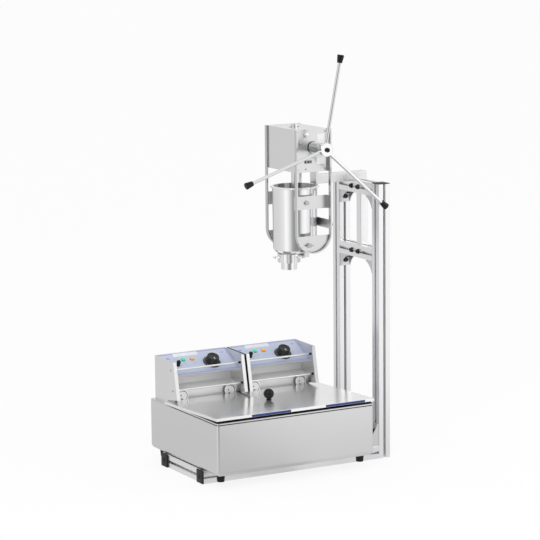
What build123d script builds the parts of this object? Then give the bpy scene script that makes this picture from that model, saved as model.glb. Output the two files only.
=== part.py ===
from build123d import *
import os
from math import acos, asin, atan2, cos, degrees, pi, radians, sin, sqrt, tan

# Churro maker: a crank-driven dough press on a slotted-profile stand over a twin electric fryer.
# Millimetres. +X runs to the right along the front, +Y to the rear, +Z up. The origin lies on the
# floor, at the middle of the footprint.

os.makedirs("parts", exist_ok=True)

# ---- stand ----
profile_size = 40.0
profile_corner = 1.5
slot_opening = 8.2
slot_lip = 4.5
slot_cavity_width = 18.0
slot_cavity_depth = 6.0
slot_flank_angle = 50.0
cap_thickness = 4.5
cap_thickness_post = 2.5
stand_y = 8.9                     # middle of the stand, front to rear
stand_gap = 195.0                 # clear space between the front and rear profiles
rail_inset = 1.5                  # the rails' left ends, inside the fryer's left face
post_gap = 77.0                   # from the fryer's right face to the posts
post_height = 853.5
crossbar_top_z = (652.4, 853.5)   # lower and upper crossbar
bracket_leg = 40.0
foot_bracket_leg = 70.0
foot_bolt_share = 0.6             # of the way along a foot bracket's leg
bracket_width = 36.0
bracket_plate = 4.0
bracket_web = 3.0
bracket_arc = 1.6                 # radius of a web's hollow edge, over its leg
strut_size = 26.0
strut_wall = 2.0
strut_offset = 26.5               # from the posts' left face to the strut's middle
strut_y = 11.9
bolt_head_radius = 6.5
bolt_head_height = 5.0
washer_radius = 8.0
washer_thickness = 1.6
crossbar_bolt_spacing = 38.0
crossbar_bolt_y = 11.5

# ---- arm ----
arm_size = 28.0
arm_wall = 2.0
arm_y = 4.9
arm_left_x = 143.5
arm_overrun = 31.0                # past the posts' left face
mount_plate_depth = 38.0
mount_plate_top_z = 1000.0
mount_plate_corner = 3.0
mount_plate_relief = 3.5          # room for the raised piston, under the gearbox

# ---- gearbox ----
gearbox_left_x = 23.2
gearbox_width = 108.8
gearbox_bottom_z = 902.0
gearbox_height = 129.0
gearbox_front_y = -86.1
gearbox_depth = 183.0
gearbox_wall = 3.0
gearbox_screw_inset = 7.5
gearbox_screw_radius = 3.0
gearbox_screw_height = 1.6
guide_size = 44.0
guide_height = 18.0
running_clearance = 0.05
loose_clearance = 0.4

# ---- crank ----
crank_x = 84.0
crank_z = 975.6
shaft_radius = 7.0
bearing_radius = 12.0
bearing_flange_radius = 19.0
bearing_flange_thickness = 2.9
sleeve_radius = 18.5
sleeve_length = 58.0
hub_radius = 20.5
hub_length = 25.0
hub_chamfer = 1.5
arm_count = 3
first_arm_angle = 78.7
crank_arm_radius = 5.0
crank_tip_radius = 285.0
arm_root_gap = 3.0                # between the shaft and an arm's root
grip_length = 24.5
grip_root_radius = 7.6
grip_taper = 7.2
grip_fillet = 3.0
crank_bolt_radius = 7.5
crank_bolt_height = 5.0

# ---- rack and pinion ----
gear_module = 1.5
pinion_teeth = 14
pressure_angle = 20.0
tooth_addendum = 1.2
tooth_dedendum = 1.5
backlash = 0.3
flank_steps = 4                   # straight runs along a tooth's flank
tooth_root_share = 0.9            # how deep a tooth's root sits in the wheel
pinion_width = 17.0
rack_x = 70.5
rack_y = 5.4
rack_radius = 10.0
rack_top_z = 1040.0
rack_travel = 190.0
rack_spare_teeth = 2
piston_floor_gap = 16.0           # from the cylinder's bottom to the piston at rest
piston_height = 20.0
piston_gap = 0.3
piston_body_step = 1.0
seal_groove_depth = 4.0
seal_height = 6.0
rack_stud_radius = 6.0

# ---- cylinder, nozzle and nut ----
cylinder_bore_radius = 64.5
cylinder_top_z = 852.0
cylinder_bottom_z = 648.0
cylinder_floor = 3.0
cylinder_outer_top = 68.5
cylinder_outer_bottom = 66.5
cylinder_bottom_fillet = 15.0
rim_outer_radius = 74.0
rim_height = 5.0
rim_rounding = 2.2
nozzle_x = 49.0
neck_radius = 28.0
neck_bore = 18.0
neck_length = 22.5
nut_radius = 33.5
nut_drop = 29.0                   # from the cylinder's bottom to the nut's
nut_height = 26.0
nut_lip = 3.0
nut_rib_count = 12
nut_rib_radius = 1.8
wing_count = 3
wing_reach = 55.0
wing_width = 14.0
wing_thickness = 5.0
wing_rise = 15.0                  # from the nut's bottom to its wings
nozzle_radius = 24.0
nozzle_drop = 51.0
nozzle_flange = 2.6
star_points = 8
star_outer = 12.0
star_inner = 7.5
star_plate = 4.0

# ---- hoops and plates ----
bar_thickness = 4.0
bar_width = 12.0
hoop_left_x = 19.2
hoop_width = 121.3
hoop_top_z = 1031.0
hoop_centre_z = 715.0
plate_thickness = 2.0
cross_plate_z = 788.0
cross_plate_height = 40.0
front_cross_plate_y = -75.1
cross_flange = 4.0
cradle_top_z = 708.0
plate_edge_clearance = 0.05
side_bar_z = 725.0
side_bar_height = 27.0
side_bar_thickness = 3.0
front_tab_height = 43.0
clamp_screw_radius = 4.0
clamp_head_radius = 7.0
clamp_head_height = 5.0
cross_screw_z = 807.5
cradle_screw_z = 680.0
clamp_screw_x = 66.0
screw_tip_gap = 0.3
wing_screw_reach = 12.0
wing_screw_tab = 3.0
wing_screw_boss = 7.0
lug_width = 16.0
lug_x = 60.0
lug_thickness = 3.7
lug_rise = 24.0
lug_reach = 44.0

# ---- fryer ----
housing_left_x = -324.5
housing_width = 535.0
housing_depth = 444.8
housing_bottom_z = 40.0
housing_top_z = 194.5
housing_wall = 1.5
housing_edge_radius = 8.0
housing_rear_radius = 14.0
foot_top_radius = 13.0
foot_bottom_radius = 11.0
foot_height = 22.0
foot_inset_x = 28.0
foot_inset_y = 36.4
tank_sheet = 1.5
tank_rim_height = 8.5
tank_seam_height = 3.0            # dark joint under the rolled rim
tank_seam_depth = 1.5
tank_rim_width = 6.0
tank_rim_rear_y = 118.0
tank_floor_z = 60.5
tank_side_margin = 22.5
tank_front_margin = 22.5
tank_rear_y = 142.0
tank_corner = 20.0
lid_sheet = 1.5
lid_rear_y = 118.9
lid_seat_gap = 0.3
lid_front_lift = 12.5
lid_flange = 8.5
lid_side_clearance = 0.5
lid_knob_x = -57.0
lid_knob_y = -51.0
lid_knob_radius = 16.0
lid_stem_radius = 5.0
lid_stem_height = 3.0
bumper_radius = 5.0
bumper_inset = 11.5

# ---- control heads ----
head_left_margin = 12.0           # from the fryer's left face to the left head
head_gap = 7.0
head_right_margin = 27.0
head_sheet = 1.5
head_rear_y = 208.9
head_top_z = 331.5
head_brow_y = 84.0
head_brow_z = 329.5
head_nose_y = 60.6
head_nose_z = 216.5
head_foot_y = 124.0
head_foot_z = 206.0
head_flange = 11.0
fascia_front_y = 114.0
fascia_front_z = 281.0
fascia_slope = 28.2
fascia_sheet = 1.5
fascia_lip = 5.0
recess_y = 135.9
recess_ledge_z = 228.0
recess_upper_y = 168.0
recess_shelf_z = 243.0
rod_radius = 3.0
upper_rod = (101.0, 302.5)
lower_rod = (87.0, 241.5)
lamp_radius = 6.8
lamp_height = 4.0
lamp_rounding = 2.4
lamp_offsets = (80.5, 111.0)
lamp_y = 175.0
dial_margin = 76.5                # from a head's right face
dial_y = 153.0
skirt_radius = 28.0
skirt_height = 3.0
skirt_taper = 25.0
knob_radius = 20.5
knob_height = 20.0
knob_taper = 4.0
knob_rounding = 1.5
spindle_radius = 3.0
spindle_depth = 14.0
button_offset = 52.5
button_y = 156.0
button_radius = 6.8
button_height = 17.0
button_rounding = 2.2
button_depth = 8.0
element_radius = 4.0
element_z = 84.0
element_front_y = -172.0
element_bend = 14.0
element_y = 128.0
shroud_radius = 19.0
shroud_z = 214.5
shroud_margins = (50.0, 30.5)     # from a head's left and right faces
shroud_front_y = 120.5
shroud_ring = 3.0
shroud_recess = 1.5

# ---- places worked out from the sizes above ----
housing_mid_x = housing_left_x + housing_width / 2
housing_right_x = housing_left_x + housing_width
housing_front_y = -housing_depth / 2
rail_left_x = housing_left_x + rail_inset
post_left_x = housing_right_x + post_gap
strut_x = post_left_x + strut_offset
arm_right_x = post_left_x + arm_overrun
head_width = (housing_width - head_left_margin - head_gap - head_right_margin) / 2
head_left_x = (housing_left_x + head_left_margin, housing_right_x - head_right_margin - head_width)
dial_offset = head_width - dial_margin
shroud_offsets = (shroud_margins[0], head_width - shroud_margins[1])
piston_bottom_z = cylinder_bottom_z + piston_floor_gap
neck_bottom_z = cylinder_bottom_z - neck_length
nut_bottom_z = cylinder_bottom_z - nut_drop
nut_top_z = nut_bottom_z + nut_height
wing_z = nut_bottom_z + wing_rise
nozzle_bottom_z = cylinder_bottom_z - nozzle_drop
front_profile_y = stand_y - stand_gap / 2 - profile_size / 2
rear_profile_y = stand_y + stand_gap / 2 + profile_size / 2
half_profile = profile_size / 2
post_x = post_left_x + half_profile
gearbox_right_x = gearbox_left_x + gearbox_width
gearbox_mid_x = gearbox_left_x + gearbox_width / 2
gearbox_rear_y = gearbox_front_y + gearbox_depth
gearbox_top_z = gearbox_bottom_z + gearbox_height
gearbox_mid_z = gearbox_bottom_z + gearbox_height / 2
sleeve_front_y = gearbox_front_y - sleeve_length
hub_front_y = sleeve_front_y - hub_length
arm_plane_y = sleeve_front_y - hub_length / 2
pitch_radius = gear_module * pinion_teeth / 2
tooth_pitch = pi * gear_module
pitch_line_x = crank_x - pitch_radius
rack_tip_x = pitch_line_x + tooth_addendum
piston_top_z = piston_bottom_z + piston_height
hoop_mid_x = hoop_left_x + hoop_width / 2
hoop_outer_radius = hoop_width / 2
hoop_inner_radius = hoop_outer_radius - bar_thickness
hoop_right_x = hoop_left_x + hoop_width
front_hoop_y = gearbox_front_y - bar_width
rear_hoop_y = gearbox_rear_y - bar_width
rear_cross_plate_y = rear_hoop_y - plate_thickness
rim_top_z = housing_top_z + tank_rim_height
deck_top_z = housing_top_z + tank_sheet
lid_tilt = degrees(asin(lid_front_lift / (lid_rear_y - housing_front_y)))
fascia_rise = tan(radians(fascia_slope))


def save(part, label):
    part.label = label
    export_step(part, f"parts/{label}.step")


def fascia_z(y):
    return fascia_front_z + (y - fascia_front_y) * fascia_rise


def fascia_plane(x, y, lift=0.0):
    """Plane on the fascia's upper face, with its normal square to the face."""
    normal = (0, -sin(radians(fascia_slope)), cos(radians(fascia_slope)))
    spot = Vector(x, y, fascia_z(y)) + Vector(*normal) * lift
    return Plane(origin=spot, x_dir=(1, 0, 0), z_dir=normal)


def crank_arm_plane(angle, distance):
    """Plane square to one crank arm, at a distance from the crank's axis."""
    direction = Vector(cos(radians(angle)), 0, sin(radians(angle)))
    spot = Vector(crank_x, arm_plane_y, crank_z) + direction * distance
    return Plane(origin=spot, x_dir=(0, 1, 0), z_dir=direction)


# ---- stand ----
def profile(plane, length):
    """Slotted 40 mm profile, extruded along the plane's normal."""
    with BuildPart() as bar:
        with BuildSketch(plane):
            RectangleRounded(profile_size, profile_size, profile_corner)
            with PolarLocations(half_profile - slot_lip / 2, 4):
                Rectangle(slot_lip, slot_opening, mode=Mode.SUBTRACT)
            with PolarLocations(half_profile - slot_lip - slot_cavity_depth / 2, 4):
                Trapezoid(slot_cavity_width, slot_cavity_depth, slot_flank_angle, rotation=90,
                          mode=Mode.SUBTRACT)
        extrude(amount=length)
    return bar.part


rail_length = post_left_x - rail_left_x
for rail_name, rail_y in (("front_rail", front_profile_y), ("rear_rail", rear_profile_y)):
    rail_start = Plane(origin=(rail_left_x, rail_y, half_profile), z_dir=(1, 0, 0))
    save(profile(rail_start, rail_length), rail_name)

for post_name, post_y in (("front_post", front_profile_y), ("rear_post", rear_profile_y)):
    save(profile(Plane(origin=(post_x, post_y, 0), z_dir=(0, 0, 1)), post_height), post_name)


def cross_member(x, z):
    start_y = stand_y - stand_gap / 2
    return profile(Plane(origin=(x, start_y, z), z_dir=(0, 1, 0)), stand_gap)


with BuildPart() as base_ties:
    add(cross_member(rail_left_x + half_profile, half_profile))
    add(cross_member(post_x, half_profile))
save(base_ties.part, "base_ties")

with BuildPart() as crossbars:
    for bar_top in crossbar_top_z:
        add(cross_member(post_x, bar_top - half_profile))
save(crossbars.part, "crossbars")

strut_bottom_z = crossbar_top_z[0]
strut_top_z = crossbar_top_z[1] - profile_size
with BuildPart() as crossbar_strut:
    with BuildSketch(Plane.XY.offset(strut_bottom_z)):
        with Locations((strut_x, strut_y)):
            RectangleRounded(strut_size, strut_size, profile_corner)
            Rectangle(strut_size - 2 * strut_wall, strut_size - 2 * strut_wall, mode=Mode.SUBTRACT)
    extrude(amount=strut_top_z - strut_bottom_z)
save(crossbar_strut.part, "crossbar_strut")

with BuildPart() as end_caps:
    for cap_y in (front_profile_y, rear_profile_y):
        with BuildSketch(Plane(origin=(rail_left_x, cap_y, half_profile), z_dir=(-1, 0, 0))):
            RectangleRounded(profile_size, profile_size, profile_corner)
        extrude(amount=cap_thickness)
        with BuildSketch(Plane(origin=(post_x, cap_y, post_height), z_dir=(0, 0, 1))):
            RectangleRounded(profile_size, profile_size, profile_corner)
        extrude(amount=cap_thickness_post)
save(end_caps.part, "end_caps")


def corner_bracket(plane, leg):
    """Die-cast corner bracket: two plates along the plane's x and y axes, and two side webs."""
    inner = leg - bracket_plate
    with BuildPart() as bracket:
        with BuildSketch(plane.offset(-bracket_width / 2)):
            with BuildLine():
                Line((0, 0), (leg, 0))
                Line((leg, 0), (leg, bracket_plate))
                RadiusArc((leg, bracket_plate), (bracket_plate, leg), bracket_arc * inner)
                Line((bracket_plate, leg), (0, leg))
                Line((0, leg), (0, 0))
            make_face()
        extrude(amount=bracket_width)
        with BuildSketch(plane.offset(-bracket_width / 2 + bracket_web)):
            with Locations((bracket_plate, bracket_plate)):
                Rectangle(leg, leg, align=(Align.MIN, Align.MIN))
        extrude(amount=bracket_width - 2 * bracket_web, mode=Mode.SUBTRACT)
    return bracket.part


post_front_face = stand_y - stand_gap / 2
post_rear_face = stand_y + stand_gap / 2
with BuildPart() as corner_brackets:
    for bar_top in crossbar_top_z:
        under = bar_top - profile_size
        add(corner_bracket(Plane(origin=(post_x, post_front_face, under), x_dir=(0, 1, 0),
                                 z_dir=(-1, 0, 0)), bracket_leg))
        add(corner_bracket(Plane(origin=(post_x, post_rear_face, under), x_dir=(0, -1, 0),
                                 z_dir=(1, 0, 0)), bracket_leg))
    for foot_y in (front_profile_y, rear_profile_y):
        add(corner_bracket(Plane(origin=(post_left_x, foot_y, profile_size), x_dir=(-1, 0, 0),
                                 z_dir=(0, 1, 0)), foot_bracket_leg))
save(corner_brackets.part, "corner_brackets")


def bolt(plane):
    """Washer and socket head, standing on the plane."""
    with BuildPart() as head:
        with BuildSketch(plane):
            Circle(washer_radius)
        extrude(amount=washer_thickness)
        with BuildSketch(plane.offset(washer_thickness)):
            Circle(bolt_head_radius)
        extrude(amount=bolt_head_height)
    return head.part


bracket_bolt = bracket_plate + (bracket_leg - bracket_plate) / 2
foot_bolt = bracket_plate + (foot_bracket_leg - bracket_plate) * foot_bolt_share
with BuildPart() as frame_bolts:
    for bar_top in crossbar_top_z:
        for side in (-1, 1):
            bolt_y = crossbar_bolt_y + side * crossbar_bolt_spacing / 2
            add(bolt(Plane(origin=(post_left_x, bolt_y, bar_top - half_profile), z_dir=(-1, 0, 0))))
        under = bar_top - profile_size
        for face_y, inward in ((post_front_face, 1), (post_rear_face, -1)):
            plate_y = face_y + inward * bracket_plate
            add(bolt(Plane(origin=(post_x, plate_y, under - bracket_bolt), z_dir=(0, inward, 0))))
            add(bolt(Plane(origin=(post_x, face_y + inward * bracket_bolt, under - bracket_plate),
                           z_dir=(0, 0, -1))))
    for foot_y in (front_profile_y, rear_profile_y):
        add(bolt(Plane(origin=(post_left_x - bracket_plate, foot_y, profile_size + foot_bolt),
                       z_dir=(-1, 0, 0))))
        add(bolt(Plane(origin=(post_left_x - foot_bolt, foot_y, profile_size + bracket_plate),
                       z_dir=(0, 0, 1))))
save(frame_bolts.part, "frame_bolts")

# ---- arm ----
arm_mid_z = crossbar_top_z[1] + arm_size / 2
with BuildPart() as machine_arm:
    with BuildSketch(Plane(origin=(arm_left_x, arm_y, arm_mid_z), z_dir=(1, 0, 0))):
        RectangleRounded(arm_size, arm_size, profile_corner)
        Rectangle(arm_size - 2 * arm_wall, arm_size - 2 * arm_wall, mode=Mode.SUBTRACT)
    extrude(amount=arm_right_x - arm_left_x)
save(machine_arm.part, "machine_arm")

mount_plate_bottom_z = crossbar_top_z[1]
with BuildPart() as mounting_plate:
    with BuildSketch(Plane(origin=(gearbox_right_x, arm_y, 0), x_dir=(0, 1, 0), z_dir=(1, 0, 0))):
        with Locations((0, (mount_plate_bottom_z + mount_plate_top_z) / 2)):
            RectangleRounded(mount_plate_depth, mount_plate_top_z - mount_plate_bottom_z,
                             mount_plate_corner)
    extrude(amount=arm_left_x - gearbox_right_x)
    with BuildSketch(Plane(origin=(gearbox_right_x, arm_y, mount_plate_bottom_z), x_dir=(0, 1, 0),
                           z_dir=(1, 0, 0))):
        Rectangle(mount_plate_depth, gearbox_bottom_z - mount_plate_bottom_z, align=(Align.CENTER, Align.MIN))
    extrude(amount=mount_plate_relief, mode=Mode.SUBTRACT)
save(mounting_plate.part, "mounting_plate")

# ---- gearbox ----
bearing_hole = bearing_radius + running_clearance
with BuildPart() as gearbox_casing:
    with BuildSketch(Plane(origin=(gearbox_mid_x, gearbox_front_y + gearbox_wall, gearbox_mid_z),
                           x_dir=(1, 0, 0), z_dir=(0, -1, 0)).offset(-(gearbox_depth - 2 * gearbox_wall))):
        Rectangle(gearbox_width, gearbox_height)
        Rectangle(gearbox_width - 2 * gearbox_wall, gearbox_height - 2 * gearbox_wall,
                  mode=Mode.SUBTRACT)
    extrude(amount=gearbox_depth - 2 * gearbox_wall)
    with BuildSketch(Plane.XY.offset(gearbox_bottom_z)):
        with Locations((rack_x, rack_y)):
            Circle(rack_radius + loose_clearance)
    extrude(amount=gearbox_height, mode=Mode.SUBTRACT)
save(gearbox_casing.part, "gearbox_casing")

tab_width = hoop_right_x - bar_thickness - gearbox_right_x


def gearbox_plate(front_face_y):
    """End plate of the gearbox, with the tab that reaches the hoop's right leg."""
    with BuildPart() as plate:
        with BuildSketch(Plane.XZ.offset(-front_face_y)):
            with Locations((gearbox_mid_x, gearbox_mid_z)):
                Rectangle(gearbox_width, gearbox_height)
            with Locations((gearbox_right_x, gearbox_bottom_z)):
                Rectangle(tab_width, front_tab_height, align=(Align.MIN, Align.MIN))
            with Locations((crank_x, crank_z)):
                Circle(bearing_hole, mode=Mode.SUBTRACT)
        extrude(amount=-gearbox_wall)
    return plate.part


hoop_inner_left_x = hoop_left_x + bar_thickness
hoop_inner_right_x = hoop_right_x - bar_thickness
with BuildPart() as gearbox_front_plate:
    add(gearbox_plate(gearbox_front_y))
    with BuildSketch(Plane.XY.offset(gearbox_bottom_z)):
        with Locations((hoop_inner_left_x, gearbox_front_y)):
            Rectangle(plate_thickness, bar_width, align=(Align.MIN, Align.MAX))
    extrude(amount=gearbox_height)
    with BuildSketch(Plane.XY.offset(gearbox_bottom_z)):
        with Locations((hoop_inner_right_x, gearbox_front_y)):
            Rectangle(plate_thickness, bar_width, align=(Align.MAX, Align.MAX))
    extrude(amount=front_tab_height)
save(gearbox_front_plate.part, "gearbox_front_plate")
save(gearbox_plate(gearbox_rear_y - gearbox_wall), "gearbox_rear_plate")

with BuildPart() as gearbox_screws:
    for face_y, outward in ((gearbox_front_y, -1), (gearbox_rear_y, 1)):
        with BuildSketch(Plane(origin=(gearbox_mid_x, face_y, gearbox_mid_z), x_dir=(1, 0, 0),
                               z_dir=(0, outward, 0))):
            with GridLocations(gearbox_width - 2 * gearbox_screw_inset,
                               gearbox_height - 2 * gearbox_screw_inset, 2, 2):
                Circle(gearbox_screw_radius)
        extrude(amount=gearbox_screw_height)
    with BuildSketch(Plane.XY.offset(gearbox_top_z)):
        with Locations((rack_x, rack_y)):
            with GridLocations(guide_size - 2 * gearbox_screw_inset, 1, 2, 1):
                Circle(gearbox_screw_radius)
    extrude(amount=gearbox_screw_height)
save(gearbox_screws.part, "gearbox_screws")

with BuildPart() as shaft_bearings:
    for face_y, outward in ((gearbox_front_y, -1), (gearbox_rear_y, 1)):
        inner_face = Plane(origin=(crank_x, face_y, crank_z), x_dir=(1, 0, 0), z_dir=(0, outward, 0))
        with BuildSketch(inner_face):
            Circle(bearing_flange_radius)
        extrude(amount=bearing_flange_thickness)
        with BuildSketch(inner_face):
            Circle(bearing_radius)
        extrude(amount=-2 * gearbox_wall)
        with BuildSketch(inner_face.offset(bearing_flange_thickness)):
            Circle(shaft_radius + running_clearance)
        extrude(amount=-3 * gearbox_wall - bearing_flange_thickness, mode=Mode.SUBTRACT)
save(shaft_bearings.part, "shaft_bearings")

with BuildPart() as rack_guides:
    for guide_z in (gearbox_bottom_z + gearbox_wall, gearbox_top_z - gearbox_wall - guide_height):
        with BuildSketch(Plane.XY.offset(guide_z)):
            with Locations((rack_x, rack_y)):
                RectangleRounded(guide_size, guide_size, profile_corner)
                Circle(rack_radius + running_clearance, mode=Mode.SUBTRACT)
        extrude(amount=guide_height)
save(rack_guides.part, "rack_guides")


# ---- crank ----
def crank_plane(y):
    """Plane across the crank's axis, facing the front."""
    return Plane(origin=(crank_x, y, crank_z), x_dir=(1, 0, 0), z_dir=(0, -1, 0))


rear_shaft_end_y = gearbox_rear_y + bearing_flange_thickness + 2 * gearbox_screw_height
with BuildPart() as crank_shaft:
    with BuildSketch(crank_plane(rear_shaft_end_y)):
        Circle(shaft_radius)
    extrude(amount=rear_shaft_end_y - hub_front_y)
save(crank_shaft.part, "crank_shaft")


def involute(angle):
    return tan(angle) - angle


def pinion_tooth(centre_angle):
    """Points round one involute tooth, from its root out to its tip and back."""
    base_radius = pitch_radius * cos(radians(pressure_angle))
    root_radius = pitch_radius - tooth_dedendum
    tip_radius = pitch_radius + tooth_addendum
    half_pitch_tooth = (tooth_pitch - backlash) / (4 * pitch_radius)
    flank = []
    for step in range(flank_steps + 1):
        radius = base_radius + (tip_radius - base_radius) * step / flank_steps
        turn = half_pitch_tooth + involute(radians(pressure_angle)) - involute(acos(base_radius / radius))
        flank.append((radius, turn))
    flank.insert(0, (root_radius * tooth_root_share, flank[0][1]))
    outline = [(r, centre_angle - t) for r, t in flank] + [(r, centre_angle + t) for r, t in reversed(flank)]
    return [(r * cos(a), r * sin(a)) for r, a in outline]


with BuildPart() as drive_pinion:
    with BuildSketch(crank_plane(rack_y + pinion_width / 2)):
        Circle(pitch_radius - tooth_dedendum)
        for tooth in range(pinion_teeth):
            with BuildLine():
                Polyline(*pinion_tooth(pi + 2 * pi * tooth / pinion_teeth), close=True)
            make_face()
        Circle(shaft_radius + running_clearance, mode=Mode.SUBTRACT)
    extrude(amount=pinion_width)
save(drive_pinion.part, "drive_pinion")

sleeve_rear_y = gearbox_front_y - bearing_flange_thickness - loose_clearance
with BuildPart() as crank_hub:
    with BuildSketch(crank_plane(sleeve_rear_y)):
        Circle(sleeve_radius)
    extrude(amount=sleeve_rear_y - sleeve_front_y)
    with BuildSketch(crank_plane(sleeve_front_y)):
        Circle(hub_radius)
    extrude(amount=hub_length)
    chamfer(crank_hub.faces().sort_by(Axis.Y)[0].edges(), length=hub_chamfer)
    with BuildSketch(crank_plane(sleeve_rear_y)):
        Circle(shaft_radius + running_clearance)
    extrude(amount=sleeve_rear_y - hub_front_y, mode=Mode.SUBTRACT)
    for arm in range(arm_count):
        with BuildSketch(crank_arm_plane(first_arm_angle + arm * 360 / arm_count, shaft_radius)):
            Circle(crank_arm_radius + running_clearance)
        extrude(amount=hub_radius, mode=Mode.SUBTRACT)
save(crank_hub.part, "crank_hub")

grip_bore_depth = grip_length - grip_fillet
arm_root = shaft_radius + arm_root_gap
with BuildPart() as crank_arms:
    for arm in range(arm_count):
        with BuildSketch(crank_arm_plane(first_arm_angle + arm * 360 / arm_count, arm_root)):
            Circle(crank_arm_radius)
        extrude(amount=crank_tip_radius - grip_length + grip_bore_depth - arm_root)
save(crank_arms.part, "crank_arms")

with BuildPart() as crank_grips:
    for arm in range(arm_count):
        grip_start = crank_arm_plane(first_arm_angle + arm * 360 / arm_count, crank_tip_radius - grip_length)
        with BuildPart(mode=Mode.PRIVATE) as grip:
            with BuildSketch(grip_start):
                Circle(grip_root_radius)
            extrude(amount=grip_length, taper=-grip_taper)
            tip_edge = grip.edges().filter_by(GeomType.CIRCLE).sort_by(SortBy.RADIUS)[-1]
            fillet(tip_edge, grip_fillet)
            with BuildSketch(grip_start):
                Circle(crank_arm_radius + running_clearance)
            extrude(amount=grip_bore_depth, mode=Mode.SUBTRACT)
        add(grip.part)
save(crank_grips.part, "crank_grips")

with BuildPart() as crank_bolt:
    with BuildSketch(crank_plane(hub_front_y)):
        RegularPolygon(crank_bolt_radius, 6)
    extrude(amount=crank_bolt_height)
save(crank_bolt.part, "crank_bolt")

# ---- rack rod and piston ----
tooth_depth = tooth_addendum + tooth_dedendum
flank_slope = tan(radians(pressure_angle))
gap_width = tooth_pitch / 2 + backlash / 2 + 2 * tooth_addendum * flank_slope
gaps_above = int((rack_top_z - crank_z) / tooth_pitch) - rack_spare_teeth
gaps_below = int(rack_travel / tooth_pitch) + rack_spare_teeth
flat_bottom_z = crank_z - (gaps_below + 1) * tooth_pitch
with BuildPart() as rack_rod:
    with BuildSketch(Plane.XY.offset(piston_top_z)):
        with Locations((rack_x, rack_y)):
            Circle(rack_radius)
    extrude(amount=rack_top_z - piston_top_z)
    with BuildSketch(Plane.XY.offset(flat_bottom_z)):
        with Locations((rack_tip_x, rack_y)):
            Rectangle(rack_radius, 2 * rack_radius, align=(Align.MIN, Align.CENTER))
    extrude(amount=rack_top_z - flat_bottom_z, mode=Mode.SUBTRACT)
    with BuildSketch(Plane.XZ.offset(-rack_y)):
        for gap in range(-gaps_below, gaps_above + 1):
            with Locations((rack_tip_x - tooth_depth / 2, crank_z + gap * tooth_pitch)):
                Trapezoid(gap_width, tooth_depth, 90 - pressure_angle, rotation=90)
    extrude(amount=rack_radius, both=True, mode=Mode.SUBTRACT)
    with BuildSketch(Plane.XY.offset(piston_bottom_z)):
        with Locations((rack_x, rack_y)):
            Circle(rack_stud_radius)
    extrude(amount=piston_height)
save(rack_rod.part, "rack_rod")

seal_radius = cylinder_bore_radius - piston_gap
seal_inner = seal_radius - seal_groove_depth
seal_z = piston_bottom_z + (piston_height - seal_height) / 2
with BuildPart() as piston:
    with BuildSketch(Plane.XY.offset(piston_bottom_z)):
        with Locations((rack_x, rack_y)):
            Circle(seal_radius - piston_body_step)
    extrude(amount=piston_height)
    chamfer(piston.edges().sort_by(Axis.Z)[0], length=2 * piston_body_step)
    with BuildSketch(Plane.XY.offset(seal_z)):
        with Locations((rack_x, rack_y)):
            Circle(seal_radius)
            Circle(seal_inner - running_clearance, mode=Mode.SUBTRACT)
    extrude(amount=seal_height, mode=Mode.SUBTRACT)
    with BuildSketch(Plane.XY.offset(piston_bottom_z)):
        with Locations((rack_x, rack_y)):
            Circle(rack_stud_radius + running_clearance)
    extrude(amount=piston_height, mode=Mode.SUBTRACT)
save(piston.part, "piston")

with BuildPart() as piston_seal:
    with BuildSketch(Plane.XY.offset(seal_z)):
        with Locations((rack_x, rack_y)):
            Circle(seal_radius)
            Circle(seal_inner, mode=Mode.SUBTRACT)
    extrude(amount=seal_height)
save(piston_seal.part, "piston_seal")

# ---- dough cylinder, nozzle and nut ----
cylinder_plane = Plane(origin=(rack_x, rack_y, 0), x_dir=(1, 0, 0), z_dir=(0, -1, 0))
cylinder_inner_fillet = cylinder_bottom_fillet - cylinder_floor
with BuildPart() as dough_cylinder:
    with BuildSketch(cylinder_plane):
        with BuildLine():
            Polyline((0, cylinder_bottom_z), (cylinder_outer_bottom, cylinder_bottom_z),
                     (cylinder_outer_top, cylinder_top_z), (0, cylinder_top_z), close=True)
        make_face()
    revolve(axis=Axis((rack_x, rack_y, 0), (0, 0, 1)))
    fillet(dough_cylinder.edges().group_by(Axis.Z)[0], cylinder_bottom_fillet)
    with BuildSketch(Plane.XY.offset(cylinder_top_z - rim_height)):
        with Locations((rack_x, rack_y)):
            Circle(rim_outer_radius)
    extrude(amount=rim_height)
    fillet(dough_cylinder.edges().filter_by(GeomType.CIRCLE).sort_by(SortBy.RADIUS)[-2:], rim_rounding)
    with BuildPart(mode=Mode.PRIVATE) as bore_space:
        with BuildSketch(Plane.XY.offset(cylinder_bottom_z + cylinder_floor)):
            with Locations((rack_x, rack_y)):
                Circle(cylinder_bore_radius)
        extrude(amount=cylinder_top_z - cylinder_bottom_z)
        fillet(bore_space.edges().group_by(Axis.Z)[0], cylinder_inner_fillet)
    add(bore_space.part, mode=Mode.SUBTRACT)
    with BuildSketch(Plane.XY.offset(neck_bottom_z)):
        with Locations((nozzle_x, rack_y)):
            Circle(neck_radius)
    extrude(amount=cylinder_bottom_z + cylinder_floor / 2 - neck_bottom_z)
    with BuildSketch(Plane.XY.offset(neck_bottom_z)):
        with Locations((nozzle_x, rack_y)):
            Circle(neck_bore)
    extrude(amount=cylinder_bottom_z + cylinder_floor - neck_bottom_z, mode=Mode.SUBTRACT)
save(dough_cylinder.part, "dough_cylinder")

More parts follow.
